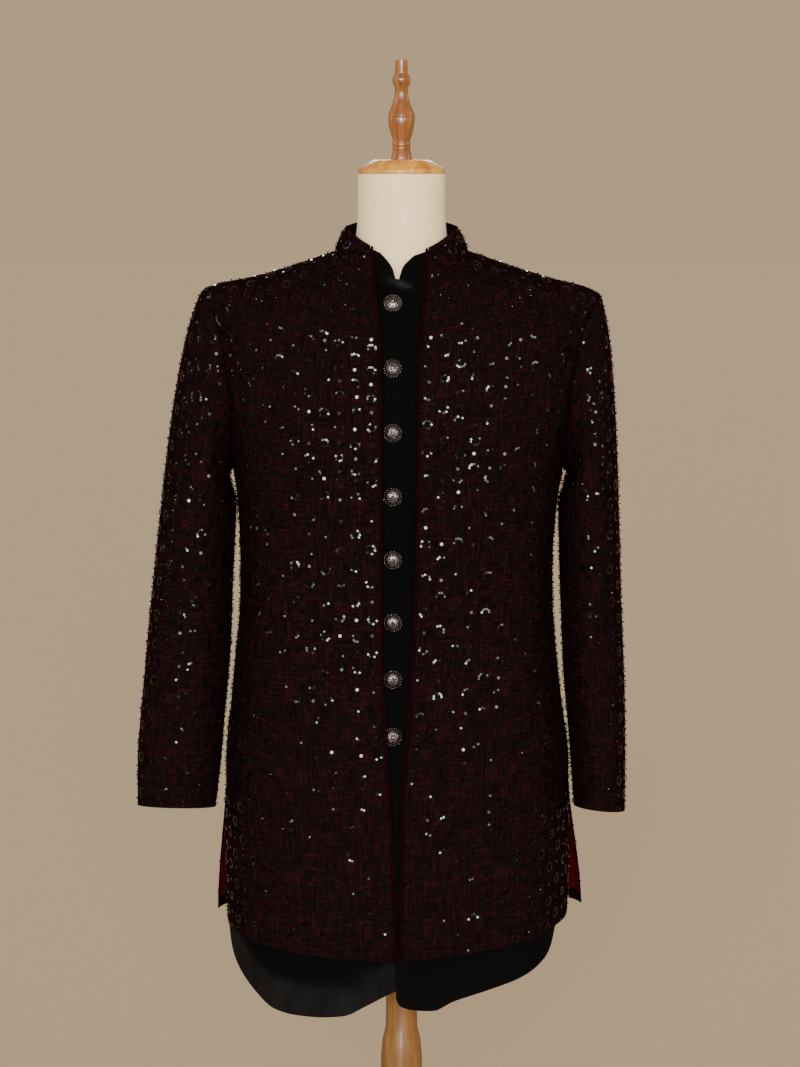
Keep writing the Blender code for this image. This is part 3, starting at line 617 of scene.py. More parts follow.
SEQUINNED = Cloth(SequinCloth("sequin_cloth_finish", "190a0b", 0.62), "sequin_cloth")
VELVET = Cloth(Velvet("velvet_finish", "121011", 0.85), "velvet")
PIPING = Cloth(Satin("maroon_satin_finish", "200409", 0.6), "maroon_satin", 0.0003)
LINING = Cloth(Satin("crimson_satin_finish", "5b1017", 0.45, shade="3d080f"), "crimson_lining", 0.0006)


class BodySurface:
    """The one surface that the coat follows, in rows from under the hem to the neck."""

    # z at the side, front and back, half width, shoulder tip, front and back depth, squareness, shift in x
    ROWS = [
        (0.54, 0.54, 0.54, 0.202, 0.0, 0.15, 0.14, 0.045, -0.005),
        (0.665, 0.665, 0.665, 0.202, 0.0, 0.148, 0.137, 0.045, -0.005),
        (0.77, 0.77, 0.77, 0.2025, 0.0, 0.144, 0.132, 0.045, -0.005),
        (0.847, 0.847, 0.847, 0.2025, 0.0, 0.14, 0.127, 0.045, -0.005),
        (0.919, 0.919, 0.919, 0.195, 0.0, 0.1345, 0.118, 0.045, -0.006),
        (0.967, 0.967, 0.967, 0.19, 0.0, 0.131, 0.112, 0.045, -0.0065),
        (1.038, 1.038, 1.038, 0.184, 0.0, 0.1285, 0.108, 0.045, -0.006),
        (1.085, 1.085, 1.085, 0.1835, 0.0, 0.13, 0.11, 0.045, -0.006),
        (1.14, 1.14, 1.14, 0.186, 0.0, 0.133, 0.115, 0.045, -0.005),
        (1.195, 1.195, 1.195, 0.193, 0.0, 0.135, 0.12, 0.045, -0.004),
        (1.25, 1.235, 1.245, 0.2015, 0.002, 0.1345, 0.123, 0.045, -0.003),
        (1.305, 1.275, 1.295, 0.2085, 0.007, 0.1295, 0.1235, 0.04, -0.002),
        (1.358, 1.311, 1.343, 0.212, 0.015, 0.1215, 0.119, 0.03, -0.001),
        (1.395, 1.34, 1.383, 0.2085, 0.027, 0.1125, 0.1095, 0.02, 0.0),
        (1.407, 1.36, 1.404, 0.195, 0.0215, 0.1065, 0.101, 0.01, 0.0),
        (1.417, 1.377, 1.421, 0.168, 0.007, 0.0995, 0.092, 0.0, 0.0),
        (1.431, 1.393, 1.437, 0.1275, 0.0005, 0.092, 0.0825, 0.0, 0.0),
        (1.448, 1.408, 1.452, 0.0777, 0.0, 0.085, 0.073, 0.0, 0.0),
    ]
    ARMPIT_ROW = 9
    TIP_ROW = 13
    NECK_ROW = 17
    ARMHOLE_TOP_ROW = 13.4
    ARMHOLE_FRONT = math.radians(24)
    ARMHOLE_BACK = math.radians(26)
    TIP_SPREAD = math.radians(32)
    # How far the wearer's right shoulder stands up and the left one down, and over how many rows
    SHOULDER_LIFT = {-1: 0.003, 1: -0.002}
    LIFT_ROWS = 3
    SLIT_TOP = 0.84
    SLIT_BOTTOM = 0.665
    BACK_FLARE = {-1: 0.013, 1: 0.0185}
    BACK_LIFT = {-1: 0.0, 1: 0.007}
    SLIT_GAP_FRONT = math.radians(1.5)
    SLIT_GAP_BACK = math.radians(5.0)
    SEAM_GAP = 0.0003
    # Past this angle a fold of one side still shows on the other
    BACK_FOLDS_FROM = math.radians(150)
    # Soft folds in the skirt: side, angle, half angle of the trough, depth, height where it dies out
    SKIRT_FOLDS = [
        (1, 60, 13, 0.0035, 0.95),
        (1, 28, 12, 0.0015, 0.85),
        (-1, 52, 13, 0.0025, 0.9),
        (1, 118, 14, 0.005, 1.0),
        (-1, 116, 14, 0.005, 1.0),
        (1, 152, 14, 0.0045, 0.98),
        (-1, 156, 14, 0.0045, 0.98),
    ]

    def __init__(self) -> None:
        """Makes the curves of its rows."""
        self.table = Table(self.ROWS)

    def row_at(self, z_side: Array) -> Array:
        """The row whose side stands at that height."""
        return self.table.columns[0].index_of(z_side)

    def ring(self, section: Array, side: int, angle: Array, flare: Array | float = 0.0) -> Array:
        """Points of rings, each a rounded oval whose front, side and back stand at their own heights.

        Args:
            section: Rings' sizes, on the last axis.
            side: The wearer's side.
            angle: Angles from the centre front.
            flare: Extra half width of the back.

        Returns:
            Points.
        """
        z_side, z_front, z_back, half_width, tip, front, back, square, shift = np.moveaxis(section, -1, 0)
        across = (np.sin(angle) + square * np.sin(3 * angle)) / (1 - square)
        forward = (np.cos(angle) - square * np.cos(3 * angle)) / (1 - square)
        ahead = forward > 0
        depth = np.where(ahead, front, back)
        end_z = np.where(ahead, z_front, z_back)
        width = half_width + np.where(forward < 0, flare, 0.0)
        point = tip * np.exp(-(((angle - math.pi / 2) / self.TIP_SPREAD) ** 2))
        across_it = shift + side * (width * across + point)
        return np.stack([across_it, -depth * forward, z_side + (end_z - z_side) * forward**2], axis=-1)

    def opened(self, z_side: Array) -> Array:
        """How far the slit stands open at a height, from 0 at its top to 1."""
        return ease((self.SLIT_TOP - z_side) / (self.SLIT_TOP - self.SLIT_BOTTOM))

    def folds(self, side: int, angle: Array, z: Array) -> Array:
        """How far the skirt's soft folds push the cloth in at a place."""
        depth = np.zeros_like(z)
        for fold_side, at, spread, deep, top in self.SKIRT_FOLDS:
            centre = math.radians(at) if fold_side == side else 2 * math.pi - math.radians(at)
            shown = np.where((fold_side == side) | (angle > self.BACK_FOLDS_FROM), 1.0, 0.0)
            bump = np.exp(-(((angle - centre) / math.radians(spread)) ** 2))
            depth += shown * deep * bump * ease((top - z) / (top - self.SLIT_BOTTOM))
        return depth

    def lift(self, side: int, angle: Array, row: Array) -> Array:
        """The uneven shoulders: the wearer's right one sits a little higher."""
        near_tip = ease(1 - np.abs(row - self.TIP_ROW) / self.LIFT_ROWS)
        return self.SHOULDER_LIFT[side] * np.sin(angle) ** 2 * near_tip

    @staticmethod
    def outward(side: int, angle: Array) -> Array:
        """The level direction away from the middle at an angle."""
        return np.stack([side * np.sin(angle), -np.cos(angle), np.zeros_like(angle)], axis=-1)

    def point(self, side: int, angle: Array, row: Array) -> Array:
        """Points of the coat's outer face."""
        section = self.table.at(row)
        flare = self.BACK_FLARE[side] * self.opened(section[..., 0])
        points = self.ring(section, side, angle, flare)
        inward = self.folds(side, angle, points[..., 2])
        points[..., 2] += self.lift(side, angle, row)
        return points - inward[..., None] * self.outward(side, angle)

    def normal(self, side: int, angle: Array, row: Array) -> Array:
        """Outward normals of the coat's outer face."""
        low, high = np.maximum(row - ROW_STEP, 0), np.minimum(row + ROW_STEP, self.NECK_ROW)
        return facing(partial(self.point, side), side, angle, (low, row, high))

    def inset(self, side: int, angle: Array, row: Array, depth: Array | float) -> Array:
        """Points that lie a depth inside the coat's outer face."""
        depth = np.broadcast_to(np.asarray(depth, float), angle.shape)
        return self.point(side, angle, row) - depth[..., None] * self.normal(side, angle, row)

    @staticmethod
    def angle_at_x(side: int, x: Array, section: Array) -> Array:
        """The angle near the centre front at which a ring has that x. Negative past the centre line."""
        stretch = section[..., 3] * (1 + 3 * section[..., 7]) / (1 - section[..., 7])
        return np.arcsin(side * (x - section[..., 8]) / stretch)

    def armhole_row(self, turn: Array) -> Array:
        """The row of a place round the armhole, from the shoulder tip (0) to the armpit (pi)."""
        return self.ARMPIT_ROW + (self.ARMHOLE_TOP_ROW - self.ARMPIT_ROW) * (1 + np.cos(turn)) / 2

    def armhole_angle(self, turn: Array) -> Array:
        """The armhole's angle on the body surface. A turn past pi, or below 0, is on the back."""
        cut = np.where(np.sin(turn) >= 0, self.ARMHOLE_FRONT, self.ARMHOLE_BACK)
        return math.pi / 2 - cut * np.sin(turn)

    def upper_rows(self, round_armhole: int, on_shoulder: int) -> tuple[Array, Array]:
        """Rows above the armpit, with the armhole's turn at each, or -1 on the shoulder.

        Args:
            round_armhole: Steps from the armpit to the shoulder tip.
            on_shoulder: Steps from there to the neck.

        Returns:
            The rows and the turns.
        """
        turns = np.linspace(math.pi, 0.0, round_armhole + 1)[1:]
        shoulder = np.linspace(self.ARMHOLE_TOP_ROW, self.NECK_ROW, on_shoulder + 1)[1:]
        rows = np.concatenate([self.armhole_row(turns), shoulder])
        return rows, np.concatenate([turns, np.full(on_shoulder, -1.0)])

    def side_end(self, row: Array, turn: Array, back: bool) -> Array:
        """Where a front or back panel ends at the side: at the seam, slit, armhole or shoulder seam."""
        section = self.table.at(row)
        sign = 1.0 if back else -1.0
        seam = self.SEAM_GAP / 2 / np.minimum(section[..., 5], section[..., 6])
        gap = self.SLIT_GAP_BACK if back else self.SLIT_GAP_FRONT
        plain = math.pi / 2 + sign * (seam + gap * self.opened(section[..., 0]))
        hole = self.armhole_angle(-turn if back else turn)
        return np.where((turn >= 0) & (turn < math.pi), hole, plain)


BODY = BodySurface()


@dataclass(frozen=True)
class Drape:
    """A soft trough or ridge placed in the cloth.

    It follows a line of x and z, as seen from in front or behind. It is width wide to either side, and lifts
    the cloth by height, or sinks it where that is negative.
    """

    start: tuple[float, float]
    end: tuple[float, float]
    width: float
    height: float
    behind: bool = False

    # Where along its line it begins, as a share, and how soon it is full on cloth that turns to face it
    BEGINS = 0.08
    TURNING = 1.6

    def nearness(self, points: Array) -> Array:
        """How near points lie to its line: 1 on the line and 0 well away from it."""
        start, end = np.array(self.start), np.array(self.end)
        line = end - start
        flat = points[..., (0, 2)]
        along_it = np.clip(((flat - start) @ line) / (line @ line), 0, 1)
        off = np.linalg.norm(flat - (start + along_it[..., None] * line), axis=-1)
        swell = np.sin(math.pi * (self.BEGINS + (1 - 2 * self.BEGINS) * along_it))
        return swell * np.exp(-((off / self.width) ** 2))

    def push(self, grid: ClothGrid) -> Array:
        """How far it lifts each of a sheet's points, on the face that it is seen on."""
        seen = grid.outward[..., 1] if self.behind else -grid.outward[..., 1]
        return self.height * self.nearness(grid.points) * np.clip(self.TURNING * seen, 0, 1)


def drape(grid: ClothGrid, folds: list[Drape]) -> ClothGrid:
    """The grid with listed creases pushed into it along its normals, dying out at its edges."""
    rows, columns = grid.points.shape[:2]
    up, across = np.linspace(0, 1, rows)[:, None], np.linspace(0, 1, columns)
    margin_up, margin_across = 0.03, 0.06
    inner = ease(up / margin_up) * ease((1 - up) / margin_up)
    inner = inner * ease(across / margin_across) * ease((1 - across) / margin_across)
    lift = inner * sum((fold.push(grid) for fold in folds), np.zeros((rows, columns)))
    return ClothGrid(grid.points + lift[..., None] * grid.outward, grid.flat, grid.outward)


@dataclass
class Embroidery:
    """Sequins sewn in upright rows: rings of discs, with a single disc between each ring and the next."""

    row_pitch: float = 0.0178
    ring_pitch: float = 0.0385
    ring_radius: float = 0.0050
    ring_sizes: tuple[float, float] = (0.88, 1.1)
    ring_count: int = 11
    disc_radius: float = 0.0013
    disc_sides: int = 8
    single_size: float = 1.5
    single_rim: float = 0.85
    single_dish: float = 0.0004
    bead_radius: float = 0.0009
    bead_stretch: float = 1.25
    bead_gap: float = 0.0085
    stand_off: float = 0.0011
    edge: float = 0.0019
    # How far places wander across and up, and beads beside them
    wander: tuple[float, float] = (0.0008, 0.0015)
    bead_wander: tuple[float, float] = (0.0010, 0.0030)
    # Tilts: of a ring's discs outwards, and by chance, in part the motif's and in part the disc's own
    outward_tilt: float = math.radians(6)
    loose_tilt: tuple[float, float] = (math.radians(6.5), math.radians(4.5))
    motif_share: float = 0.8
    own_share: float = 0.7
    # Lean back on the skirt and at the chest, and the heights between which it changes
    skirt_lean: float = -0.040
    chest_lean: float = 0.100
    lean_from: float = 0.80
    lean_over: float = 0.30
    # How much straighter than the cloth they hang, where the cloth isn't level
    straighter: float = 0.65
    upright_cloth: tuple[float, float] = (0.5, 0.3)

    @staticmethod
    def pattern(shape: Shape, name: str) -> bpy.types.Mesh:
        """A small mesh that is stamped many times."""
        mesh = bpy.data.meshes.new(name)
        shape.to_mesh(mesh)
        shape.free()
        return mesh

    def disc(self) -> bpy.types.Mesh:
        """One sequin of a ring: a flat disc."""
        shape = bmesh.new()
        bmesh.ops.create_circle(shape, cap_ends=True, segments=self.disc_sides, radius=self.disc_radius)
        return self.pattern(shape, "ring sequin")

    def holed_disc(self) -> bpy.types.Mesh:
        """One single sequin: a wider disc, dished towards its hole."""
        shape = bmesh.new()
        size = self.single_size * self.disc_radius
        bmesh.ops.create_circle(shape, cap_ends=True, segments=self.disc_sides, radius=size)
        bmesh.ops.inset_region(shape, faces=shape.faces, thickness=self.single_rim * self.disc_radius)
        hole = [vert for vert in shape.verts if vert.co.length < self.disc_radius]
        bmesh.ops.translate(shape, verts=hole, vec=(0, 0, -self.single_dish))
        return self.pattern(shape, "single sequin")

    def bead(self) -> bpy.types.Mesh:
        """One cut bead, a little taller than wide."""
        shape = bmesh.new()
        bmesh.ops.create_icosphere(shape, subdivisions=1, radius=self.bead_radius)
        bmesh.ops.scale(shape, verts=shape.verts, vec=(1.0, 1.0, self.bead_stretch))
        return self.pattern(shape, "bead")

    def sewn_places(self, grid: ClothGrid, seed: int) -> list[tuple[str, float, float, float, float, int]]:
        """Flat places of every sequin and bead on a sheet, in upright rows.

        Args:
            grid: The sheet.
            seed: Seeds the unevenness of the sewing.

        Returns:
            For each its kind, the motif's place across and up, its own offset from that, and the motif's
            number.
        """
        rng = np.random.default_rng(seed)
        low, high = grid.flat[..., 0].min(), grid.flat[..., 0].max()
        top = grid.flat[..., 1].max()
        sewn: list[tuple[str, float, float, float, float, int]] = []
        motif = 0
        for line in range(math.floor(low / self.row_pitch) - 1, math.ceil(high / self.row_pitch) + 1):
            start = (0.5 if line % 2 else 0.0) * self.ring_pitch
            for step in range(-1, int(top / self.ring_pitch) + 2):
                across = (line + 0.5) * self.row_pitch + rng.normal(0, self.wander[0])
                up = start + step * self.ring_pitch + rng.normal(0, self.wander[1])
                begin = rng.uniform(0, 2 * math.pi)
                size = self.ring_radius * rng.uniform(*self.ring_sizes)
                for k in range(self.ring_count):
                    turn = begin + 2 * math.pi * k / self.ring_count
                    sewn.append(("disc", across, up, size * math.cos(turn), size * math.sin(turn), motif))
                sewn.append(("bead", across, up, 0.0, 0.0, motif))
                middle = up + self.ring_pitch / 2
                sewn.append(("single", across, middle, 0.0, 0.0, motif + 1))
                for off in (-self.bead_gap, self.bead_gap):
                    sewn.append(("bead", across, middle, rng.normal(0, self.bead_wander[0]), off, motif + 1))
                # A lone bead on the bare cloth between two rows, level with the single sequin
                beside = self.row_pitch / 2, rng.normal(0, self.bead_wander[1])
                sewn.append(("bead", across, middle, *beside, motif + 1))
                motif += 2
        return sewn

    def hung(self, here: Array, out: Array) -> Array:
        """The way each sequin faces.

        They hang by a thread, so straighter than the cloth, and lean back at the chest.
        """
        level, turning = self.upright_cloth
        upright = ease((level - np.abs(out[:, 2])) / turning)
        risen = ease((here[:, 2] - self.lean_from) / self.lean_over)
        lean = self.skirt_lean + (self.chest_lean - self.skirt_lean) * risen
        faced = out.copy()
        faced[:, 2] += upright * (lean - self.straighter * out[:, 2])
        return unit(faced)

    def sew(self, name: str, grid: ClothGrid, seed: int) -> bpy.types.Object:
        """Every sequin and bead of one sheet, as one piece.

        Args:
            name: The piece's name.
            grid: The sheet that they are sewn to.
            seed: Seeds the unevenness of the sewing.

        Returns:
            The piece.
        """
        rng = np.random.default_rng(seed + 1)
        columns = zip(*self.sewn_places(grid, seed))
        kinds, across, up, aside, above, motif = (np.array(column) for column in columns)
        clear = np.ones(len(across), bool)
        for du, dv in ((-1, 0), (1, 0), (0, -1), (0, 1)):
            clear &= grid.place(across + aside + du * self.edge, up + above + dv * self.edge)[3]
        here, out, beside, inside = grid.place(across + aside, up + above)
        upward = np.cross(out, beside)
        shared = rng.normal(0, self.loose_tilt, (motif.max() + 1, 2))[motif]
        own = rng.normal(0, self.loose_tilt, (len(motif), 2))
        out = self.hung(here, out)
        spread = self.outward_tilt * np.stack([aside, above], axis=-1) / self.ring_radius
        tilt = self.motif_share * shared + self.own_share * own + spread
        normal = unit(out + tilt[:, :1] * beside + tilt[:, 1:] * upward)
        side = unit(np.cross(normal, upward))
        third = np.cross(normal, side)
        centre = here + self.stand_off * out
        shape = bmesh.new()
        stamps = {"disc": self.disc(), "single": self.holed_disc(), "bead": self.bead()}
        for k in np.flatnonzero(clear & inside):
            place = Matrix([*zip(side[k], third[k], normal[k], centre[k]), (0.0, 0.0, 0.0, 1.0)])
            stamp = stamps[kinds[k]]
            stamp.transform(place)
            shape.from_mesh(stamp)
            stamp.transform(place.inverted())
        for stamp in stamps.values():
            bpy.data.meshes.remove(stamp)
        piece = put_in_scene(name, shape, GLAZE, smooth=False)
        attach(piece, "root")
        return piece


@dataclass
class Coat:
    """The body of the open sequinned coat: two fronts, a back, a band collar, piping and slit linings."""

    front_columns: int = 44
    back_columns: int = 44
    skirt_rows: int = 64
    armhole_rows: int = 40
    shoulder_rows: int = 16
    collar_rows: int = 14
    collar_columns: int = 60
    collar_bulge: float = 0.0015
    piping_width: float = 0.0030
    piping_steps: int = 14
    piping_depth: float = 0.0011
    piping_sink: float = 0.0006
    # The lining: its share of the back, how far round it starts, and its clearance from the cloth
    lining_share: float = 0.25
    lining_turn: float = 0.010
    lining_gap: float = 0.0008
    # Seam gaps between the collar's ends and their piping, and the piping's steps up them
    collar_gaps: float = 2.6
    piping_collar_steps: int = 12
    embroidery: Embroidery = field(default_factory=Embroidery)

    # Where a front's and a piping's rows are counted, in radians from the centre front
    FRONT_MIDDLE = math.radians(45)
    PIPING_ANGLE = 0.05
    # Where the piping's roll starts and ends, in degrees, open towards the cloth
    ROLL = (15, 345)
    # Columns crowd towards a collar's front end by this power
    CROWDING = 1.5
    SEEDS = {"front": 11, "back": 31, "collar": 41}
    # Height, x of the wearer's right edge, x of the left edge
    FRONT_EDGES = [
        (0.54, -0.0048, -0.0032),
        (0.6394, -0.005, -0.003),
        (0.7013, -0.0067, -0.0022),
        (0.7874, -0.01, 0.0),
        (0.8719, -0.0155, 0.0033),
        (0.9491, -0.0198, 0.0096),
        (1.0248, -0.0214, 0.0138),
        (1.1014, -0.0222, 0.0162),
        (1.248, -0.0218, 0.018),
        (1.35, -0.0236, 0.021),
        (1.408, -0.0291, 0.0257),
    ]
    # Angle in degrees from the centre front, height of the edge
    HEM = {
        -1: [(0, 0.637), (34, 0.646), (62, 0.657), (80, 0.663), (90, 0.672)],
        1: [(0, 0.637), (34, 0.652), (62, 0.664), (80, 0.67), (90, 0.682)],
    }
    HEM_BACK = [(90, 0.6665), (120, 0.664), (150, 0.66), (180, 0.658)]
    COLLAR_TOP = (1.4765, 1.4465, 1.488, 0.065, 0.0, 0.074, 0.062, 0.0, 0.0)
    COLLAR_END = {-1: (-0.0291, -0.0325), 1: (0.0257, 0.0275)}
    # From the armholes down towards the chest and the waist, in front and then across the back
    FRONT_FOLDS = [
        Drape((-0.18, 1.31), (-0.135, 1.23), 0.013, -0.0013),
        Drape((0.175, 1.31), (0.13, 1.23), 0.013, -0.0013),
        Drape((-0.16, 1.05), (-0.09, 1.02), 0.012, 0.001),
        Drape((0.16, 1.04), (0.095, 1.015), 0.012, 0.001),
    ]
    BACK_FOLDS = [
        Drape((-0.17, 1.33), (-0.11, 1.24), 0.014, -0.0015, behind=True),
        Drape((0.17, 1.33), (0.11, 1.24), 0.014, -0.0015, behind=True),
        Drape((-0.12, 1.065), (0.02, 1.045), 0.012, 0.0014, behind=True),
        Drape((0.13, 1.03), (0.0, 1.015), 0.012, 0.0014, behind=True),
        Drape((-0.09, 1.02), (0.04, 1.03), 0.01, -0.001, behind=True),
    ]

    def __post_init__(self) -> None:
        """Makes the curves of its edges and hems."""
        self.edges = Table(self.FRONT_EDGES)
        self.hems = {side: Table(rows) for side, rows in self.HEM.items()}

    def edge_angle(self, side: int, row: Array, extra: float = 0.0) -> Array:
        """The angle of a front's open edge, extra metres back from it."""
        section = BODY.table.at(row)
        x = self.edges.read(section[..., 1], 2 if side > 0 else 1)
        return BODY.angle_at_x(side, x + side * extra, section)

    @staticmethod
    def hem_rows(hem: Table, angle: Array, rise: Array) -> Array:
        """Rows between the hem and the armpit, following the hem's curve at the bottom."""
        low = BODY.row_at(hem.read(np.degrees(angle)))
        return low + (BODY.ARMPIT_ROW - low) * rise

    def panel_places(
        self,
        hem: Table,
        middle: float,
        columns: int,
        ends: Callable[[Array, Array], tuple[Array, Array]],
    ) -> tuple[Array, Array]:
        """Angles and rows of a body panel's grid.

        Args:
            hem: The panel's hem.
            middle: The angle at which its rows are counted.
            columns: Steps across it.
            ends: Gives the angles of its first and last column from rows and the armhole's turns.

        Returns:
            Two arrays, rows by columns.
        """
        share = np.linspace(0, 1, columns + 1)
        rise = np.linspace(0, 1, self.skirt_rows + 1)
        plain = self.hem_rows(hem, np.full_like(rise, middle), rise)
        upper, turns = BODY.upper_rows(self.armhole_rows, self.shoulder_rows)
        angles = []
        for rows, turn in ((plain, np.full_like(plain, math.pi)), (upper, turns)):
            start, end = ends(rows, turn)
            angles.append(start[:, None] + (end - start)[:, None] * share)
        skirt = self.hem_rows(hem, angles[0], rise[:, None])
        above = np.broadcast_to(upper[:, None], angles[1].shape)
        return np.concatenate(angles), np.concatenate([skirt, above])

    def front_places(self, side: int, hem: Table, start_extra: float) -> tuple[Array, Array]:
        """Angles and rows of a front, from start_extra metres back from the open edge to the side."""

        def ends(rows: Array, turns: Array) -> tuple[Array, Array]:
            return self.edge_angle(side, rows, start_extra), BODY.side_end(rows, turns, back=False)

        return self.panel_places(hem, self.FRONT_MIDDLE, self.front_columns, ends)

    def front(self, hand: Hand) -> ClothGrid:
        """The grid of one coat front."""
        side = hand.value
        angles, rows = self.front_places(side, self.hems[side], self.piping_width + BODY.SEAM_GAP)
        return drape(ClothGrid.from_points(BODY.point(side, angles, rows), side), self.FRONT_FOLDS)

    def back_places(self, side: int) -> tuple[Array, Array]:
        """Angles and rows of half the back, from the side to the centre."""
        hem = Table([(at, z + BODY.BACK_LIFT[side] * (180 - at) / 90) for at, z in self.HEM_BACK])

        def ends(rows: Array, turns: Array) -> tuple[Array, Array]:
            return BODY.side_end(rows, turns, back=True), np.full_like(rows, math.pi)

        return self.panel_places(hem, math.pi, self.back_columns, ends)

    def back(self) -> ClothGrid:
        """The grid of the back, from the wearer's left over the centre to the right."""
        left, right = (BODY.point(side, *self.back_places(side)) for side in (1, -1))
        points = np.concatenate([left, right[:, -2::-1]], axis=1)
        return drape(ClothGrid.from_points(points, 1, middle=0.5), self.BACK_FOLDS)

    def lining(self, hand: Hand) -> ClothGrid:
        """The grid of the lining that shows inside the back at one side slit."""
        side = hand.value
        columns = round(self.back_columns * self.lining_share) + 1
        steps = round(self.skirt_rows * self.lining_share) + 1
        angles, rows = (places[1:steps, :columns] for places in self.back_places(side))
        points = BODY.inset(side, angles + self.lining_turn, rows, SEQUINNED.wall + self.lining_gap)
        return ClothGrid.from_points(points, side)

    def collar_sections(self, rise: Array) -> Array:
        """The rings of the collar's outer face at shares of its height."""
        base, top = np.array(BODY.ROWS[BODY.NECK_ROW]), np.array(self.COLLAR_TOP)
        return base + (top - base) * np.asarray(rise)[..., None]

    def collar_point(self, side: int, angle: Array, rise: Array) -> Array:
        """Points of the collar's outer face."""
        points = BODY.ring(self.collar_sections(rise), side, angle)
        bulge = self.collar_bulge * np.sin(math.pi * rise)
        return points + bulge[..., None] * BODY.outward(side, angle)

    def collar_end(self, ends: tuple[float, float], share: Array) -> Array:
        """x of a collar's front end at shares of its height, from its x at the bottom and the top."""
        low, high = ends
        return low + (high - low) * share

    def collar_angles(self, start: Array) -> Array:
        """Angles from a collar's front end to the centre back, closer together at the front."""
        columns = np.linspace(0, 1, self.collar_columns + 1) ** self.CROWDING
        return start[..., None] + (math.pi - start)[..., None] * columns

    def collar_half(
        self, side: int, share: Array, end_x: Array, top: Array, depth: Array, bottom: float = 0.01
    ) -> Array:
        """Points of half a band collar, from its front end to the centre back.

        Args:
            side: The wearer's side.
            share: Shares of the collar's height, one for each row.
            end_x: x of the front end at each row.
            top: The share of the full height that stands at each column.
            depth: How far each column lies inside the outer face.
            bottom: Where its lower edge lies, as a share of the height. Below zero it is tucked in the seam.

        Returns:
            Points, rows by columns.
        """
        angle = self.collar_angles(BODY.angle_at_x(side, end_x, self.collar_sections(share)))
        rise = bottom + (1 - bottom) * share[:, None] * top[None, :]
        surface = partial(self.collar_point, side)
        normal = facing(surface, side, angle, (rise - ANGLE_STEP, rise, rise + ANGLE_STEP))
        return surface(angle, rise) - np.reshape(depth, (1, -1, 1)) * normal

    def band(self, half: Callable[[int, Array], Array]) -> ClothGrid:
        """The grid of a band collar from the right front end round to the left one.

        Args:
            half: Gives the points of one half from the wearer's side and the rows' shares of the height.

        Returns:
            The grid.
        """
        share = np.linspace(0, 1, self.collar_rows + 1)
        points = np.concatenate([half(-1, share), half(1, share)[:, -2::-1]], axis=1)
        return ClothGrid.from_points(points, -1, middle=0.5)

    def collar(self) -> ClothGrid:
        """The grid of the coat's own band collar."""
        columns = self.collar_columns + 1
        off = self.piping_width + self.collar_gaps * BODY.SEAM_GAP

        def half(side: int, share: Array) -> Array:
            end_x = self.collar_end(self.COLLAR_END[side], share) + side * off
            return self.collar_half(side, share, end_x, np.ones(columns), np.zeros(columns))

        return self.band(half)

    def piping(self, hand: Hand) -> ClothGrid:
        """The grid of the satin piping of one front edge and of the collar's end above it."""
        side = hand.value
        rise = np.linspace(0, 1, self.skirt_rows + 1)
        low_rows = self.hem_rows(self.hems[side], np.full_like(rise, self.PIPING_ANGLE), rise)
        upper, _ = BODY.upper_rows(self.armhole_rows, self.shoulder_rows)
        rows = np.concatenate([low_rows, upper])
        share = np.linspace(0, 1, self.piping_collar_steps + 1)[1:]
        x = self.collar_end(self.COLLAR_END[side], share)
        sections = self.collar_sections(share)
        lines = []
        for extra in (0.0, self.piping_width):
            on_front = BODY.point(side, self.edge_angle(side, rows, extra), rows)
            on_collar = self.collar_point(side, BODY.angle_at_x(side, x + side * extra, sections), share)
            lines.append(np.concatenate([on_front, on_collar]))
        first, second = lines
        return self.rolled(first, second, unit(side * np.cross(second - first, np.gradient(first, axis=0))))

    def rolled(self, first: Array, second: Array, outward: Array) -> ClothGrid:
        """A strip rolled round an edge, open on the side where it is sewn to the cloth.

        Args:
            first: Points of the line at its edge.
            second: Points of the line where it meets the cloth.
            outward: The cloth's outward direction at each.

        Returns:
            The strip's grid.
        """
        middle, half = (first + second) / 2 - self.piping_sink * outward, (second - first) / 2
        turns = np.radians(np.linspace(*self.ROLL, self.piping_steps + 1))
        rings = [middle + half * math.cos(t) + self.piping_depth * math.sin(t) * outward for t in turns]
        points = np.stack(rings, axis=1)
        grid = ClothGrid.from_points(points, 1)
        return ClothGrid(points, grid.flat, points - middle[:, None])

    def build(self) -> None:
        """Makes every piece of the coat's body."""
        for hand in Hand:
            word = hand.word
            grid = self.front(hand)
            piece = SEQUINNED.hang(f"front_cloth_{word}", grid, f"coat_front_{word}")
            sewn = self.embroidery.sew(f"front_sequins_{word}", grid, self.SEEDS["front"] + hand.value)
            strip = PIPING.hang(f"front_piping_{word}", self.piping(hand), f"piping_{word}")
            lined = LINING.hang(f"lining_{word}", self.lining(hand), f"slit_lining_{word}")
            LOG.info("coat front %s", word)
        grid = self.back()
        piece = SEQUINNED.hang("back_cloth", grid, "coat_back")
        sewn = self.embroidery.sew("back_sequins", grid, self.SEEDS["back"])
        grid = self.collar()
        band = SEQUINNED.hang("collar_cloth", grid, "coat_collar")
        closer = replace(self.embroidery, row_pitch=0.0145, edge=0.0015)
        sewn = closer.sew("collar_sequins", grid, self.SEEDS["collar"])
        LOG.info("coat back and collar")


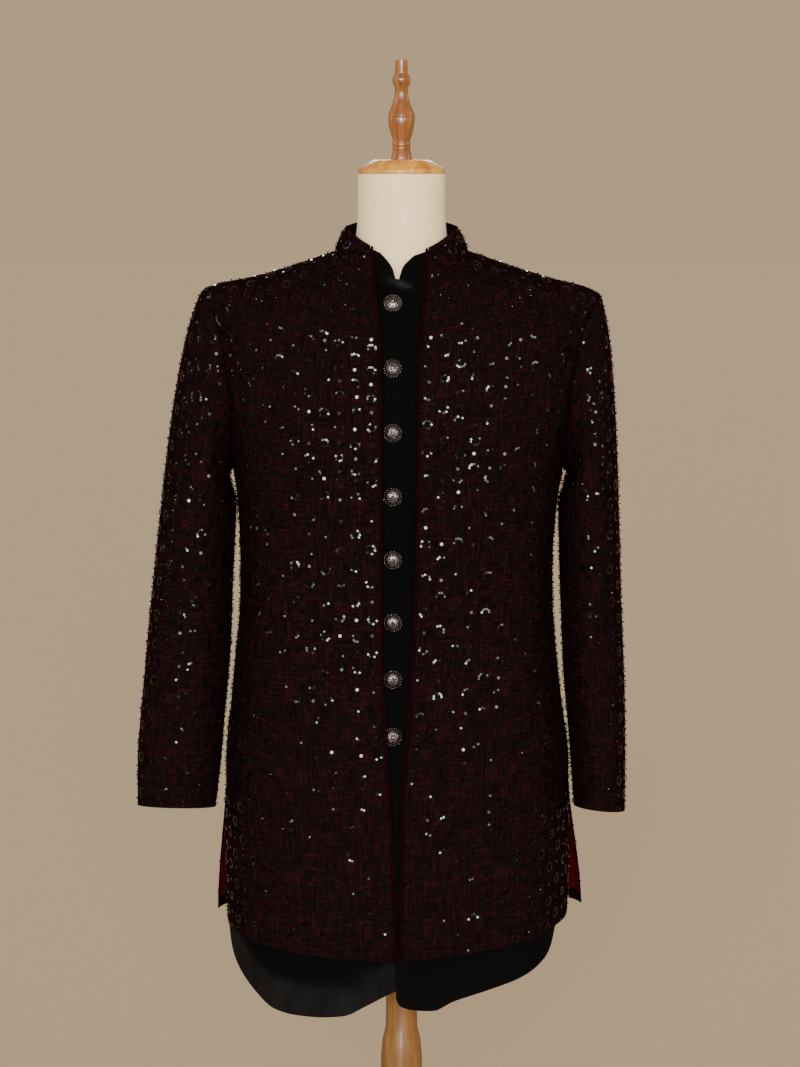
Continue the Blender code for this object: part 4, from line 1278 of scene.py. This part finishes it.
@dataclass
class Sleeve:
    """One sleeve, in an upper and an under panel, on a smooth curve from the armhole to the cuff."""

    hand: Hand
    head_rows: int = 36
    arm_rows: int = 84
    embroidery: Embroidery = field(default_factory=Embroidery)

    # z, x, y of the ring's centre, half sizes across and deep, lift of the outer side and of the front
    RINGS = {
        -1: [
            (1.15, 0.238, 0.0, 0.0445, 0.068, 0.0, 0.0),
            (1.063, 0.2449, -0.004, 0.047, 0.066, 0.0, 0.0),
            (0.969, 0.2513, -0.012, 0.0495, 0.06, 0.0, 0.0),
            (0.876, 0.2595, -0.024, 0.0495, 0.051, 0.0, 0.0),
            (0.799, 0.2641, -0.034, 0.0459, 0.0435, 0.001, 0.0045),
        ],
        1: [
            (1.15, 0.2195, 0.0, 0.0355, 0.074, 0.0, 0.0),
            (1.063, 0.2219, -0.004, 0.0358, 0.072, 0.0, 0.0),
            (0.969, 0.2254, -0.012, 0.0358, 0.066, 0.0, 0.0),
            (0.876, 0.23, -0.024, 0.033, 0.06, 0.0, 0.0),
            (0.797, 0.2323, -0.034, 0.03, 0.054, -0.003, 0.0045),
        ],
    }
    # How far a sleeve head springs out and drops at the shoulder's tip
    SPRING = {-1: (0.072, 0.093), 1: (0.048, 0.093)}
    # How it leaves the armpit, out and down, and its pull to the front there and at the tip
    ARMPIT_OUT, ARMPIT_DOWN, ARMPIT_FRONT, TIP_FRONT = 0.75, 0.65, 0.35, 0.06
    # Seam gaps between it and the armhole
    ARMHOLE_GAPS = 1.3
    TURN_STEP = 0.02
    FIRST_RING_STEP = 0.1
    SEAM_TURNS = (-math.pi / 2, math.pi / 2, math.pi * 1.5)
    SEED = 51
    # In front at the armpit and the elbow, then behind at the same places
    FOLDS = {
        -1: [
            Drape((-0.233, 1.33), (-0.208, 1.235), 0.009, 0.0016),
            Drape((-0.25, 1.31), (-0.22, 1.22), 0.008, -0.0012),
            Drape((-0.29, 1.095), (-0.235, 1.05), 0.01, -0.0018),
            Drape((-0.285, 1.065), (-0.23, 1.025), 0.009, 0.0015),
            Drape((-0.275, 1.0), (-0.22, 1.025), 0.008, -0.0014),
            Drape((-0.29, 0.87), (-0.235, 0.89), 0.009, -0.001),
            Drape((-0.235, 1.32), (-0.21, 1.23), 0.01, 0.0016, behind=True),
            Drape((-0.28, 1.1), (-0.22, 1.06), 0.011, 0.0018, behind=True),
            Drape((-0.285, 1.05), (-0.225, 1.02), 0.009, -0.0015, behind=True),
        ],
        1: [
            Drape((0.218, 1.33), (0.198, 1.235), 0.008, 0.0014),
            Drape((0.23, 1.305), (0.208, 1.22), 0.008, -0.0012),
            Drape((0.252, 1.09), (0.205, 1.045), 0.009, -0.0016),
            Drape((0.25, 1.06), (0.205, 1.02), 0.009, 0.0014),
            Drape((0.248, 0.94), (0.208, 0.96), 0.008, -0.0012),
            Drape((0.22, 1.32), (0.2, 1.23), 0.009, 0.0015, behind=True),
            Drape((0.245, 1.095), (0.205, 1.055), 0.01, 0.0017, behind=True),
            Drape((0.25, 1.045), (0.21, 1.015), 0.009, -0.0014, behind=True),
        ],
    }

    def __post_init__(self) -> None:
        """Makes the curves of its rings."""
        self.table = Table(self.RINGS[self.hand.value])

    def ring(self, place: Array, turn: Array) -> Array:
        """Points of the lower sleeve. The turn is 0 outside, pi / 2 in front and pi next to the body."""
        z, x, y, across, deep, lift_out, lift_front = np.moveaxis(self.table.at(place), -1, 0)
        return np.stack(
            [
                self.hand.value * (x + across * np.cos(turn)),
                y - deep * np.sin(turn),
                z + lift_out * np.cos(turn) + lift_front * np.sin(turn),
            ],
            axis=-1,
        )

    def start(self, turn: Array) -> Array:
        """Where the sleeve begins: a seam gap off the armhole's edge."""
        side = self.hand.value

        def edge(at: Array) -> Array:
            return BODY.point(side, BODY.armhole_angle(at), BODY.armhole_row(at))

        tangent = edge(turn + self.TURN_STEP) - edge(turn - self.TURN_STEP)
        normal = BODY.normal(side, BODY.armhole_angle(turn), BODY.armhole_row(turn))
        return edge(turn) + self.ARMHOLE_GAPS * BODY.SEAM_GAP * unit(side * np.cross(normal, tangent))

    def head(self, turn: Array, share: Array) -> Array:
        """Points of the sleeve head, on a smooth curve from the armhole to the first lower ring."""
        side = self.hand.value
        zero = np.zeros_like(turn)
        start, end = self.start(turn), self.ring(zero, turn)
        reach = np.linalg.norm(end - start, axis=-1, keepdims=True)
        out, down = self.SPRING[side]
        top = np.stack([zero + side * out, -self.TIP_FRONT * np.sin(turn), zero - down], axis=-1)
        low = [zero + side * self.ARMPIT_OUT, -self.ARMPIT_FRONT * np.sin(turn), zero - self.ARMPIT_DOWN]
        low = unit(np.stack(low, axis=-1)) * reach
        leave = top + (low - top) * ((1 - np.cos(turn)) / 2)[..., None]
        arrive = unit(self.ring(zero + self.FIRST_RING_STEP, turn) - end) * reach
        return hermite(share[..., None], start, leave, end, arrive)

    def panel(self, first: float, last: float, columns: int) -> ClothGrid:
        """The grid of a panel between two seams, from the cuff up to the armhole.

        Args:
            first: The turn of its first seam.
            last: The turn of its last seam.
            columns: How many steps across.

        Returns:
            The grid.
        """
        turns = np.linspace(first, last, columns + 1)
        arm = np.linspace(len(self.RINGS[-1]) - 1, 0, self.arm_rows + 1)
        head = np.linspace(1, 0, self.head_rows + 1)[1:]
        turn_arm, place_arm = np.meshgrid(turns, arm)
        turn_head, place_head = np.meshgrid(turns, head)
        points = np.concatenate([self.ring(place_arm, turn_arm), self.head(turn_head, place_head)])
        return drape(ClothGrid.from_points(points, -self.hand.value, middle=0.5), self.FOLDS[self.hand.value])

    def build(self) -> None:
        """Makes both panels and their sequins."""
        word = self.hand.word
        for part, first, last, columns, flat, area in (
            ("upper", *self.SEAM_TURNS[:2], 40, (0.2, 0.64), 0.108),
            ("under", *self.SEAM_TURNS[1:], 32, (0.19, 0.46), 0.078),
        ):
            grid = self.panel(first, last, columns)
            piece = SEQUINNED.hang(f"{part}_sleeve_cloth_{word}", grid, f"{part}_sleeve_{word}")
            seed = self.SEED + self.hand.value + len(part)
            sewn = self.embroidery.sew(f"{part}_sleeve_sequins_{word}", grid, seed)
            LOG.info("%s sleeve %s", part, word)


@dataclass
class Underlap:
    """The strip of the right velvet front that lies under the left one, a little deeper."""

    depth: float = 0.0030
    until: float = math.radians(42)
    fades_over: float = math.radians(20)

    def drop(self, angle: Array) -> Array:
        """The extra depth at an angle from the centre front."""
        return self.depth * ease((self.until - angle) / self.fades_over)


@dataclass
class VelvetFront:
    """The velvet front that shows between the coat's edges, with its rounded band collar."""

    coat: Coat
    placket_columns: int = 16
    extra_rows: int = 8
    edge_gap: float = 0.0033
    underlap: Underlap = field(default_factory=Underlap)
    # Depth inside the coat at the shoulder, over the chest and at the skirt, and the rows where it changes
    shoulder_depth: float = 0.0035
    chest_depth: float = 0.0105
    skirt_depth: float = 0.0045
    skirt_row: float = 4.5
    change_rows: float = 4.0
    # The turned-up hem: its depth and how that varies, the ridge over it and how far it rolls out
    hem_band: float = 0.030
    band_varies: tuple[float, float] = (0.75, 0.5)
    ridge: tuple[float, float] = (0.0014, 0.0050)
    roll: float = 0.0032
    roll_shares: tuple[float, float] = (1.0, 0.4)
    roll_margin: float = 0.05
    # Strength of the painted highlight on the hem band of either side (the lit wearer's right, the shaded
    # left), elsewhere and along the throat fold
    painted_highlight_hem: tuple[float, float] = (0.42, 0.12)
    painted_highlight_cloth: float = 0.05
    painted_highlight_fold: float = 0.8
    # How high the painted highlight reaches, as a share of the hem band, and the metres over which that fades
    painted_highlight_share: float = 1.3
    painted_highlight_fade: float = 0.010
    # The collar's rounded corners, how high it stands at them and elsewhere, and its depth inside the coat's
    corner: float = 0.020
    corner_power: float = 0.38
    corner_height: float = 0.32
    full_height: float = 0.94
    collar_depth: float = 0.0034
    under_depth: float = 0.0016
    under_length: float = 0.0090
    tucked: float = -0.08

    HEM = {
        -1: [
            (-8, 0.612), (1, 0.601), (9, 0.5844), (15, 0.573), (23, 0.5705), (31, 0.5718), (40, 0.5771),
            (49, 0.5912), (60, 0.6104), (70, 0.6307), (80, 0.66), (90, 0.69),
        ],
        1: [
            (-8, 0.63), (-1.2, 0.6), (1, 0.585), (4, 0.581), (10, 0.5795), (16, 0.59), (28, 0.6021),
            (41, 0.6136), (53, 0.6265), (58, 0.633), (62, 0.643), (66, 0.662), (71, 0.69), (90, 0.71),
        ],
    }
    OVERLAP = [(0.54, -0.005), (0.65, -0.007), (0.8, -0.015), (0.9, -0.0225), (1.41, -0.0225)]
    UNDERLAP = [(0.54, -0.006), (0.65, -0.002), (0.8, 0.008), (0.9, 0.014), (1.41, 0.014)]
    COLLAR_END = {-1: (-0.0086, -0.012), 1: (-0.0066, 0.001)}
    THROAT_X = -0.0064
    # A painted highlight along a line under the collar, where light falls on a soft fold; it moves no cloth
    THROAT_HIGHLIGHT = Drape((-0.0195, 1.4185), (0.0135, 1.4065), 0.004, 0.0)
    # Depth of the body against its width, by which an angle is read off a point, and the steepest angle read
    OVAL = 1.45
    LAST_ANGLE = 88.0
    # Metres round the body in a degree, about, over which the hem's climb is read
    DEGREE = 0.0033

    def depth(self, side: int, angle: Array, row: Array) -> Array:
        """How far the velvet's outer face lies inside the coat's."""
        down = ease((BODY.TIP_ROW + 1 - row) / self.change_rows)
        depth = self.shoulder_depth + (self.chest_depth - self.shoulder_depth) * down
        skirt = ease((self.skirt_row - row) / self.change_rows)
        depth = depth + (self.skirt_depth - self.chest_depth) * skirt
        return depth + (self.underlap.drop(angle) if side < 0 else 0.0)

    def edge_angle(self, side: int, row: Array) -> Array:
        """The angle of the velvet's own front edge."""
        section = BODY.table.at(row)
        table = Table(self.OVERLAP if side > 0 else self.UNDERLAP)
        return BODY.angle_at_x(side, table.read(section[..., 1]), section)

    def front(self, hand: Hand) -> ClothGrid:
        """The grid of one velvet front: the coat front's own columns, with the placket's ahead of them."""
        side = hand.value
        hem = Table(self.HEM[side])
        finer = replace(self.coat, skirt_rows=self.coat.skirt_rows + self.extra_rows)
        skirt = finer.skirt_rows + 1
        rise = np.linspace(0, 1, skirt)
        angles, rows = finer.front_places(side, hem, self.edge_gap)
        plain = Coat.hem_rows(hem, np.full_like(rise, Coat.FRONT_MIDDLE), rise)
        edge = self.edge_angle(side, np.concatenate([plain, rows[skirt:, 0]]))
        share = np.linspace(0, 1, self.placket_columns + 1)[:-1]
        placket = edge[:, None] + (angles[:, :1] - edge[:, None]) * share
        angles = np.concatenate([placket, angles], axis=1)
        rows_low = Coat.hem_rows(hem, angles[:skirt], rise[:, None])
        rows_up = np.broadcast_to(rows[skirt:, :1], angles[skirt:].shape)
        rows = np.concatenate([rows_low, rows_up])
        points = BODY.inset(side, angles, rows, self.depth(side, angles, rows))
        return self.hung_hem(side, ClothGrid.from_points(points, side))

    def hung_hem(self, side: int, grid: ClothGrid) -> ClothGrid:
        """The grid with its hem rolled out below a soft ridge, as where the heavy pile is turned up."""
        up = np.linalg.norm(np.diff(grid.points, axis=0), axis=-1)
        up = np.concatenate([np.zeros((1, up.shape[1])), np.cumsum(up, axis=0)])
        across = grid.flat[..., 0] / grid.flat[:1, -1:, 0]
        least, more = self.band_varies
        deep = self.hem_band * (least + more * np.sin(math.pi * np.clip(across, 0, 1)))
        height, width = self.ridge
        ridge = height * np.exp(-(((up - deep) / width) ** 2))
        rolled = self.roll * ease(1 - up / deep)
        edge = ease(across / self.roll_margin) * ease((1 - across) / self.roll_margin)
        lift = (ridge + rolled) * edge * self.roll_shares[side > 0]
        return ClothGrid(grid.points + lift[..., None] * grid.outward, grid.flat, grid.outward)

    def paint_highlight(self, piece: bpy.types.Object, side: int) -> None:
        """Paints a highlight into the sheet as an attribute: on the hem band, and along the throat fold.

        Args:
            piece: The sheet.
            side: The wearer's side, or 0 for the collar, which has no hem band.
        """
        mesh = piece.data
        painted_highlight = mesh.attributes.new("painted_highlight", "FLOAT", "POINT")
        places = np.array([vert.co for vert in mesh.vertices])
        turn = np.degrees(np.arctan2(np.abs(places[:, 0]), -places[:, 1] * self.OVAL))
        turn = np.minimum(turn, self.LAST_ANGLE)
        hem = Table(self.HEM[side or 1])
        # The hem climbs towards the side, and the band stays equally deep across it
        climb = (hem.read(turn + 1) - hem.read(turn - 1)) / 2 / self.DEGREE
        up = (places[:, 2] - hem.read(turn)) / np.sqrt(1 + climb**2)
        # Painted highlight: a lighter band up from the hem, where the light falls on it
        band = ease((self.painted_highlight_share * self.hem_band - up) / self.painted_highlight_fade)
        strength = self.painted_highlight_hem[side > 0] if side else 0.0
        # Painted highlight along the throat
        fold = self.painted_highlight_fold * self.THROAT_HIGHLIGHT.nearness(places)
        painted_highlight.data.foreach_set("value", strength * band + self.painted_highlight_cloth + fold)

    def collar(self) -> ClothGrid:
        """The grid of the inner band collar, with rounded front corners."""
        coat = self.coat

        def half(side: int, share: Array) -> Array:
            # The right end runs on under the left one
            longer = self.under_length if side < 0 else 0.0
            end_x = coat.collar_end(self.COLLAR_END[side], share) + longer
            centre = np.array([end_x[len(share) // 2]])
            start = BODY.angle_at_x(side, centre, coat.collar_sections(np.array([0.5])))[0]
            angle = coat.collar_angles(start)
            middle = coat.collar_point(side, angle, np.full_like(angle, 0.5))
            inward = np.maximum(0.0, side * (middle[:, 0] - self.THROAT_X))
            rounded = np.minimum(1.0, inward / self.corner) ** self.corner_power
            rounded = np.where(angle < math.pi / 2, rounded, 1.0)
            top = self.corner_height + (self.full_height - self.corner_height) * rounded
            under = ease(1 - inward / self.corner) * (side < 0)
            depth = self.collar_depth + self.under_depth * under
            return coat.collar_half(side, share, end_x, top, depth, bottom=self.tucked)

        return coat.band(half)

    def build(self) -> None:
        """Makes both fronts and the collar."""
        for hand in Hand:
            piece = VELVET.hang(f"velvet_cloth_{hand.word}", self.front(hand), f"velvet_front_{hand.word}")
            self.paint_highlight(piece, hand.value)
        band = VELVET.hang("velvet_collar_cloth", self.collar(), "velvet_collar")
        self.paint_highlight(band, 0)
        LOG.info("velvet front and collar")


@dataclass
class Buttons:
    """Domed filigree buttons with a beaded rim and a dark centre, each seated where its CAD node is."""

    count: int = 8
    radius: float = 0.0108
    steps: int = 40

    # Shares of the radius, and heights
    PROFILE = [
        (0.0, 0.0), (0.6, 0.0), (0.66, 0.001), (0.9, 0.0016), (0.9, 0.003), (0.84, 0.004), (0.7, 0.0056),
        (0.5, 0.0068), (0.3, 0.0073), (0.2, 0.0076), (0.16, 0.0072), (0.0, 0.0066),
    ]
    # Rings of beads: how many, share of the radius, height, radius of a bead
    BEADS = [(22, 0.91, 0.0030, 0.00125), (9, 0.50, 0.0068, 0.0010)]

    def shape(self) -> Shape:
        """One button about the Z axis, standing on the origin."""
        made = turned([(self.radius * share, height) for share, height in self.PROFILE], self.steps)
        for count, share, height, size in self.BEADS:
            for k in range(count):
                turn = 2 * math.pi * k / count
                at = (share * self.radius * math.cos(turn), share * self.radius * math.sin(turn), height)
                bmesh.ops.create_icosphere(made, subdivisions=1, radius=size, matrix=Matrix.Translation(at))
        return made

    def seat(self, index: int) -> Matrix:
        """The place and facing of a CAD button, from its own points."""
        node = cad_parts[f"button_{index}"]
        points = np.array([vert.co for vert in node.data.vertices])
        centre = points.mean(axis=0)
        spread = np.linalg.eigh(np.cov((points - centre).T))
        axis = spread[1][:, 0]
        axis = axis if axis[1] < 0 else -axis
        low = ((points - centre) @ axis).min()
        upright = Vector(axis).to_track_quat("Z", "Y").to_matrix().to_4x4()
        return Matrix.Translation(Vector(centre + low * axis)) @ upright

    def build(self) -> None:
        """Makes the buttons."""
        for index in range(1, self.count + 1):
            made = self.shape()
            bmesh.ops.transform(made, matrix=self.seat(index), verts=made.verts)
            piece = put_in_scene(f"filigree_button_{index}", made, GUNMETAL)
            stand_for(piece, f"button_{index}", "gunmetal")
        LOG.info("buttons")


@dataclass
class DressForm:
    """The limbless dress form in jersey: a smooth torso and neck, closed at the hip and the neck."""

    columns: int = 96
    rows: int = 110
    bottom: float = 0.8000
    neck_top: float = 1.5370
    # Depth inside the coat at the shoulder and from the chest down, and the rows over which it grows
    shoulder_depth: float = 0.0080
    chest_depth: float = 0.0165
    change_rows: float = 2.5
    # How much of the coat's shoulder tip it has
    tip_share: float = 0.74
    underlap: Underlap = field(default_factory=Underlap)

    # Rows of the body surface that the torso's rings follow above its bottom
    KEY_ROWS = [4, 5, 6, 7, 8, 9, 10, 11, 12, 12.45, 12.89, 14, 15, 16]
    # The neck's rings below its top
    NECK = [
        (1.4354, 1.394, 1.439, 0.086, 0.0, 0.075, 0.069, 0.0, 0.0),
        (1.444, 1.412, 1.451, 0.064, 0.0, 0.065, 0.06, 0.0, 0.0),
        (1.46, 1.435, 1.467, 0.0545, 0.0, 0.056, 0.054, 0.0, 0.0),
        (1.485, 1.475, 1.487, 0.0512, 0.0, 0.0525, 0.052, 0.0, 0.0),
    ]

    def neck_sections(self) -> Array:
        """The neck's rings, from the shoulders up."""
        return np.array([*self.NECK, (*[self.neck_top] * 3, 0.0505, 0.0, 0.0515, 0.0515, 0.0, 0.0)])

    def torso(self, row: float, side: int, angle: Array) -> Array:
        """One ring of the torso, inside the body surface and without the skirt's folds."""

        def plain(turned_by: Array, at: float) -> Array:
            section = BODY.table.at(np.full_like(turned_by, at))
            section[..., 4] *= self.tip_share
            return BODY.ring(section, side, turned_by)

        down = ease(np.array((BODY.TIP_ROW - row) / self.change_rows))
        grown = self.shoulder_depth + (self.chest_depth - self.shoulder_depth) * down
        depth = grown + self.underlap.drop(angle)
        normal = facing(plain, side, angle, (row - ROW_STEP, row, row + ROW_STEP))
        points = plain(angle, row) - depth[..., None] * normal
        points[..., 2] += BODY.lift(side, angle, np.full_like(angle, row))
        return points

    def grid(self) -> ClothGrid:
        """The whole skin, once round from the centre front, from the hip to the top of the neck."""
        turns = np.linspace(0, 2 * math.pi, self.columns + 1)

        def round_both(ring: Callable[[int, Array], Array]) -> Array:
            return np.where((turns <= math.pi)[:, None], ring(1, turns), ring(-1, 2 * math.pi - turns))

        first = float(BODY.row_at(np.array(self.bottom)))
        rings = [round_both(partial(self.torso, row)) for row in (first, *self.KEY_ROWS)]
        rings[0][:, 2] = self.bottom
        for section in self.neck_sections():
            rings.append(round_both(partial(BODY.ring, np.broadcast_to(section, (len(turns), 9)))))
        keys = np.array(rings)
        at = np.linspace(0, len(keys) - 1, self.rows + 1)
        points = np.empty((len(at), len(turns), 3))
        for column, axis in np.ndindex(len(turns), 3):
            points[:, column, axis] = Curve(list(keys[:, column, axis])).at(at)
        return ClothGrid.from_points(points, 1)

    def build(self) -> None:
        """Makes the form."""
        shape = sheet_shape(self.grid(), closed=True)
        bmesh.ops.holes_fill(shape, edges=[edge for edge in shape.edges if edge.is_boundary])
        bmesh.ops.recalc_face_normals(shape, faces=shape.faces)
        stand_for(put_in_scene("form_skin", shape, JERSEY), "dress_form", "form_jersey")
        LOG.info("dress form")


@dataclass
class TurnedPiece:
    """A turned wooden piece of the stand, spun from its profile of radius and height."""

    name: str
    node: str
    slot: str
    finish: Finish
    profile: list[tuple[float, float]]
    steps: int = 72
    rounding: float = 0.0008
    # Edges that turn by more than this are rounded
    sharp: float = math.radians(35)

    def build(self) -> None:
        """Spins the profile, rounds its edges and puts it in its node's place."""
        whole = [(0.0, self.profile[0][1]), *self.profile, (0.0, self.profile[-1][1])]
        piece = put_in_scene(self.name, turned(whole, self.steps), self.finish)
        edge = piece.modifiers.new("rounded edges", "BEVEL")
        edge.width = self.rounding
        edge.segments = 2
        edge.limit_method = "ANGLE"
        edge.angle_limit = self.sharp
        stand_for(piece, self.node, self.slot)


def stand() -> list[TurnedPiece]:
    """The neck cap, finial, pole and base."""
    base, high = 0.1900, 0.0280
    cap = [(0.0503, 1.5373), (0.0503, 1.5418), (0.0490, 1.5432), (0.0335, 1.5526), (0.0315, 1.5532)]
    finial = [
        (0.0123, 1.5535), (0.0121, 1.555), (0.011, 1.562), (0.0099, 1.5638), (0.0109, 1.5652),
        (0.0109, 1.5672), (0.0099, 1.5686), (0.0109, 1.57), (0.0108, 1.5722), (0.0098, 1.5745),
        (0.0127, 1.583), (0.015, 1.593), (0.0157, 1.601), (0.0152, 1.6025), (0.0158, 1.604),
        (0.0143, 1.609), (0.0102, 1.619), (0.0079, 1.628), (0.008, 1.637), (0.01, 1.6405), (0.0108, 1.6453),
        (0.0099, 1.6495), (0.0073, 1.653), (0.0075, 1.656), (0.0068, 1.6684),
    ]
    pole = [
        (0.036, high + 0.0003), (0.037, 0.036), (0.033, 0.046), (0.0255, 0.058), (0.0245, 0.07),
        (0.0265, 0.1), (0.0262, 0.3), (0.0245, 0.49), (0.0225, 0.512), (0.019, 0.526), (0.0185, 0.545),
        (0.0185, 0.7997),
    ]
    foot = [(base - 0.004, 0.0), (base, 0.004), (base, 0.017), (base - 0.004, 0.023), (base - 0.014, high)]
    return [
        TurnedPiece("wooden_cap", "neck_cap", "light_beech", CAP_BEECH, cap),
        TurnedPiece("wooden_finial", "finial", "brown_beech", RED_BEECH, finial, steps=48, rounding=0.0004),
        TurnedPiece("wooden_pole", "stand_pole", "light_beech", SHADED_POLE_BEECH, pole, steps=48),
        TurnedPiece("wooden_base", "stand_base", "light_beech", BASE_BEECH, foot, steps=96, rounding=0.001),
    ]


@dataclass(frozen=True)
class Light:
    """A soft far light: degrees above the horizon, round from the front and wide, and its power."""

    name: str
    height: float
    turn: float
    size: float
    power: float

    def build(self) -> None:
        """Puts it in the scene."""
        data = bpy.data.lights.new(self.name, "SUN")
        data.angle = math.radians(self.size)
        data.energy = self.power
        lamp = bpy.data.objects.new(self.name, data)
        lamp.rotation_euler = (math.pi / 2 - math.radians(self.height), 0, math.radians(self.turn))
        bpy.context.scene.collection.objects.link(lamp)


@dataclass
class Studio:
    """A plain pale floor and sky, soft lights, and the camera at the photograph's angle."""

    distance: float = 4.0
    height: float = 1.53
    pitch: float = math.radians(5.9)
    # The photograph's focal length, height and sideways shift in its own pixels
    focal_pixels: float = 3421
    frame_pixels: float = 1067
    shift_pixels: float = -1.5
    film: float = 36
    floor_radius: float = 60.0
    floor_sides: int = 96
    sky: str = "f9daae"
    sky_strength: float = 0.56

    PAINT = MattPaint("studio_floor_paint", "b8aa92", 1.0)
    LIGHTS = [
        Light("front light", 10, -1.5, 18, 4.4),
        Light("left front light", 12, -28, 16, 0.9),
        Light("right front light", 12, 28, 16, 0.9),
        Light("left light", 15, -95, 20, 0.3),
        Light("right light", 15, 95, 20, 0.3),
        Light("back light", 16, 180, 16, 2.1),
    ]

    def build(self) -> None:
        """Makes the camera, the floor, the lights and the sky."""
        data = bpy.data.cameras.new("camera")
        data.lens = self.focal_pixels / self.frame_pixels * self.film
        data.sensor_width = self.film
        data.shift_x = self.shift_pixels / self.frame_pixels
        camera = bpy.data.objects.new("camera", data)
        camera.location = (0, -self.distance, self.height)
        camera.rotation_euler = (math.pi / 2 - self.pitch, 0, 0)
        bpy.context.scene.collection.objects.link(camera)
        bpy.context.scene.camera = camera
        floor = bmesh.new()
        bmesh.ops.create_circle(floor, cap_ends=True, segments=self.floor_sides, radius=self.floor_radius)
        put_in_scene("studio_floor", floor, self.PAINT)
        for light in self.LIGHTS:
            light.build()
        world = bpy.data.worlds.new("studio")
        world.use_nodes = True
        background = world.node_tree.nodes["Background"]
        background.inputs["Color"].default_value = linear(self.sky)
        background.inputs["Strength"].default_value = self.sky_strength
        bpy.context.scene.world = world


def main() -> None:
    """Builds the studio, the stand, the form and the garment in order."""
    logging.basicConfig(level=logging.INFO, format="%(message)s")
    Studio().build()
    for piece in stand():
        piece.build()
        LOG.info(piece.name)
    DressForm().build()
    coat = Coat()
    coat.build()
    for hand in Hand:
        Sleeve(hand).build()
    VelvetFront(coat).build()
    Buttons().build()


if __name__ == "__main__":
    main()
